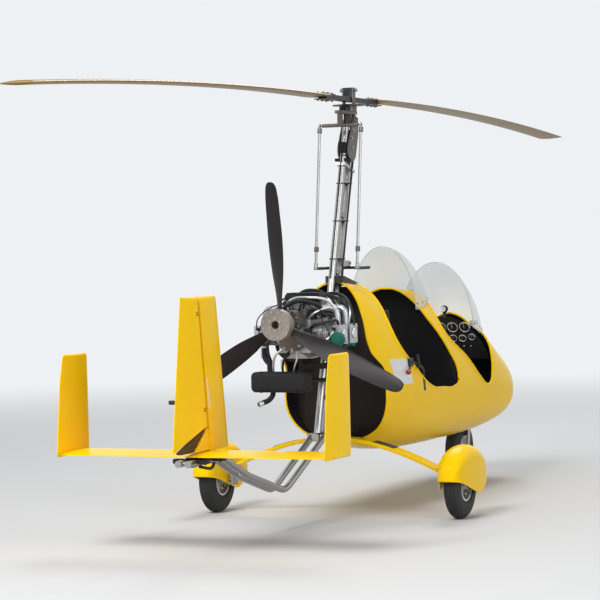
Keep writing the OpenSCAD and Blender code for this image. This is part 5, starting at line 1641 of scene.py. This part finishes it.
@dataclass
class Studio:
    """Plain floor, soft light and the camera at the photograph's viewing angle."""

    eye: tuple[float, float, float] = (-14.344, -5.794, 1.725)
    yaw_deg: float = 23.26
    pitch_deg: float = -1.36
    roll_deg: float = -1.23
    lens: float = 144.0
    floor_radius: float = 90.0
    backdrop: Colour = (0.86, 0.88, 0.9)
    floor_colour: Colour = (0.56, 0.56, 0.56)
    fade: tuple[float, float] = (4.5, 16.0)

    def build(self) -> None:
        """Makes the floor, the world, the lamps and the camera."""
        self._floor()
        self._world()
        self._lamps()
        self._camera()

    def _floor(self) -> None:
        """A flat disc: rings of points at growing distances, which fades into the backdrop far off."""
        rings, around = 24, 96
        radius = self.floor_radius * np.linspace(0, 1, rings) ** 2
        angle = np.linspace(0, 2 * np.pi, around, endpoint=False)
        r, a = np.meshgrid(radius, angle, indexing="ij")
        points = np.stack([r * np.cos(a), r * np.sin(a), np.zeros_like(r)], axis=-1)
        mesh = bpy.data.meshes.new("studio_floor")
        mesh.from_pydata(points.reshape(-1, 3).tolist(), [], grid_faces(rings, around, True).tolist())
        floor = linked("studio_floor", mesh)
        mesh.materials.append(self._floor_material())

    def _floor_material(self) -> bpy.types.Material:
        """Pale matt floor whose far part shows the backdrop's colour.

        Returns:
            The material.
        """
        material = bpy.data.materials.new("studio_floor")
        material.use_nodes = True
        tree = material.node_tree
        shader = tree.nodes["Principled BSDF"]
        fill_node(tree, shader, {"Base Color": (*self.floor_colour, 1), "Roughness": 0.9})
        place = add_node(tree, "TexCoord").outputs["Object"]
        length = add_node(tree, "VectorMath", {0: place}, operation="LENGTH").outputs["Value"]
        far = add_node(tree, "MapRange", {"Value": length, "From Min": self.fade[0], "From Max": self.fade[1]},
                       interpolation_type="SMOOTHSTEP")
        glow = add_node(tree, "Emission", {"Color": (*self.backdrop, 1)})
        mix = add_node(tree, "MixShader", {"Fac": far.outputs["Result"], 1: shader.outputs["BSDF"],
                                           2: glow.outputs["Emission"]})
        tree.links.new(mix.outputs["Shader"], tree.nodes["Material Output"].inputs["Surface"])
        return material

    def _world(self) -> None:
        """Soft even light, and the pale backdrop for camera, mirror and glass rays."""
        world = bpy.data.worlds.new("studio_world")
        bpy.context.scene.world = world
        world.use_nodes = True
        tree = world.node_tree
        tree.nodes.clear()
        rays = add_node(tree, "LightPath").outputs
        mirrored = add_math(tree, "MAXIMUM", rays["Is Glossy Ray"], rays["Is Transmission Ray"])
        seen = add_math(tree, "MAXIMUM", rays["Is Camera Ray"], mirrored)
        soft = add_node(tree, "Background", {"Color": (0.93, 0.96, 1.0, 1), "Strength": 0.36})
        shown = add_node(tree, "Background", {"Color": (*self.backdrop, 1)})
        mix = add_node(tree, "MixShader", {"Fac": seen, 1: soft.outputs["Background"],
                                           2: shown.outputs["Background"]})
        add_node(tree, "OutputWorld", {"Surface": mix.outputs["Shader"]})

    def _lamps(self) -> None:
        """Three large soft lamps: key from the left of the camera, fill from its right, top behind."""
        for name, place, size, power in (
            ("key_lamp", (-10.0, 1.0, 8.5), 5.0, 1300.0),
            ("fill_lamp", (-6.0, -11.0, 5.0), 7.0, 480.0),
            ("top_lamp", (7.0, 1.0, 9.0), 6.0, 620.0),
        ):
            lamp = bpy.data.lights.new(name, "AREA")
            lamp.shape = "DISK"
            lamp.size = size
            lamp.energy = power
            holder = linked(name, lamp)
            holder.location = place
            aim = Vector((0.0, 0.0, 1.0)) - Vector(place)
            holder.rotation_euler = aim.to_track_quat("-Z", "Y").to_euler()

    def _camera(self) -> None:
        """The camera, from its place and its yaw, pitch and roll."""
        yaw, pitch, roll = (math.radians(v) for v in (self.yaw_deg, self.pitch_deg, self.roll_deg))
        ahead = Vector((math.cos(yaw) * math.cos(pitch), math.sin(yaw) * math.cos(pitch), math.sin(pitch)))
        level = Vector((math.sin(yaw), -math.cos(yaw), 0.0))
        raised = level.cross(ahead)
        right = level * math.cos(roll) + raised * math.sin(roll)
        up = raised * math.cos(roll) - level * math.sin(roll)
        data = bpy.data.cameras.new("view_camera")
        data.lens = self.lens
        data.sensor_width = 36.0
        data.clip_end = 400.0
        camera = linked("view_camera", data)
        turn = Matrix((right, up, -ahead)).transposed().to_4x4()
        camera.matrix_world = Matrix.Translation(Vector(self.eye)) @ turn
        bpy.context.scene.camera = camera


def main() -> None:
    """Builds the pieces in order, then the studio."""
    logging.basicConfig(level=logging.INFO, format="%(message)s")
    bpy.context.scene.view_settings.view_transform = "Standard"
    pod = Pod()
    pod.build()
    Windscreen("front_screen", "front_windscreen", 1.56, 2.01, 0.272, 1.17, 1.05, 1.57).build(pod)
    Windscreen("rear_screen", "rear_windscreen", 0.53, 0.99, 0.235, 1.29, 1.29, 1.69).build(pod)
    BucketSeat("front_seat", "front_seat", 1.06, 0.4603, 0.7).build()
    BucketSeat("rear_seat", "rear_seat", 0.24, 0.4603, 0.86).build()
    Dashboard().build()
    Cabin().build(pod)
    Tail().build()
    Wheels().build()
    Rotor().build()
    Propeller().build()
    EngineBay().build()
    HeadFittings().build()
    CadDress().build()
    Studio().build()


if __name__ == "__main__":
    main()
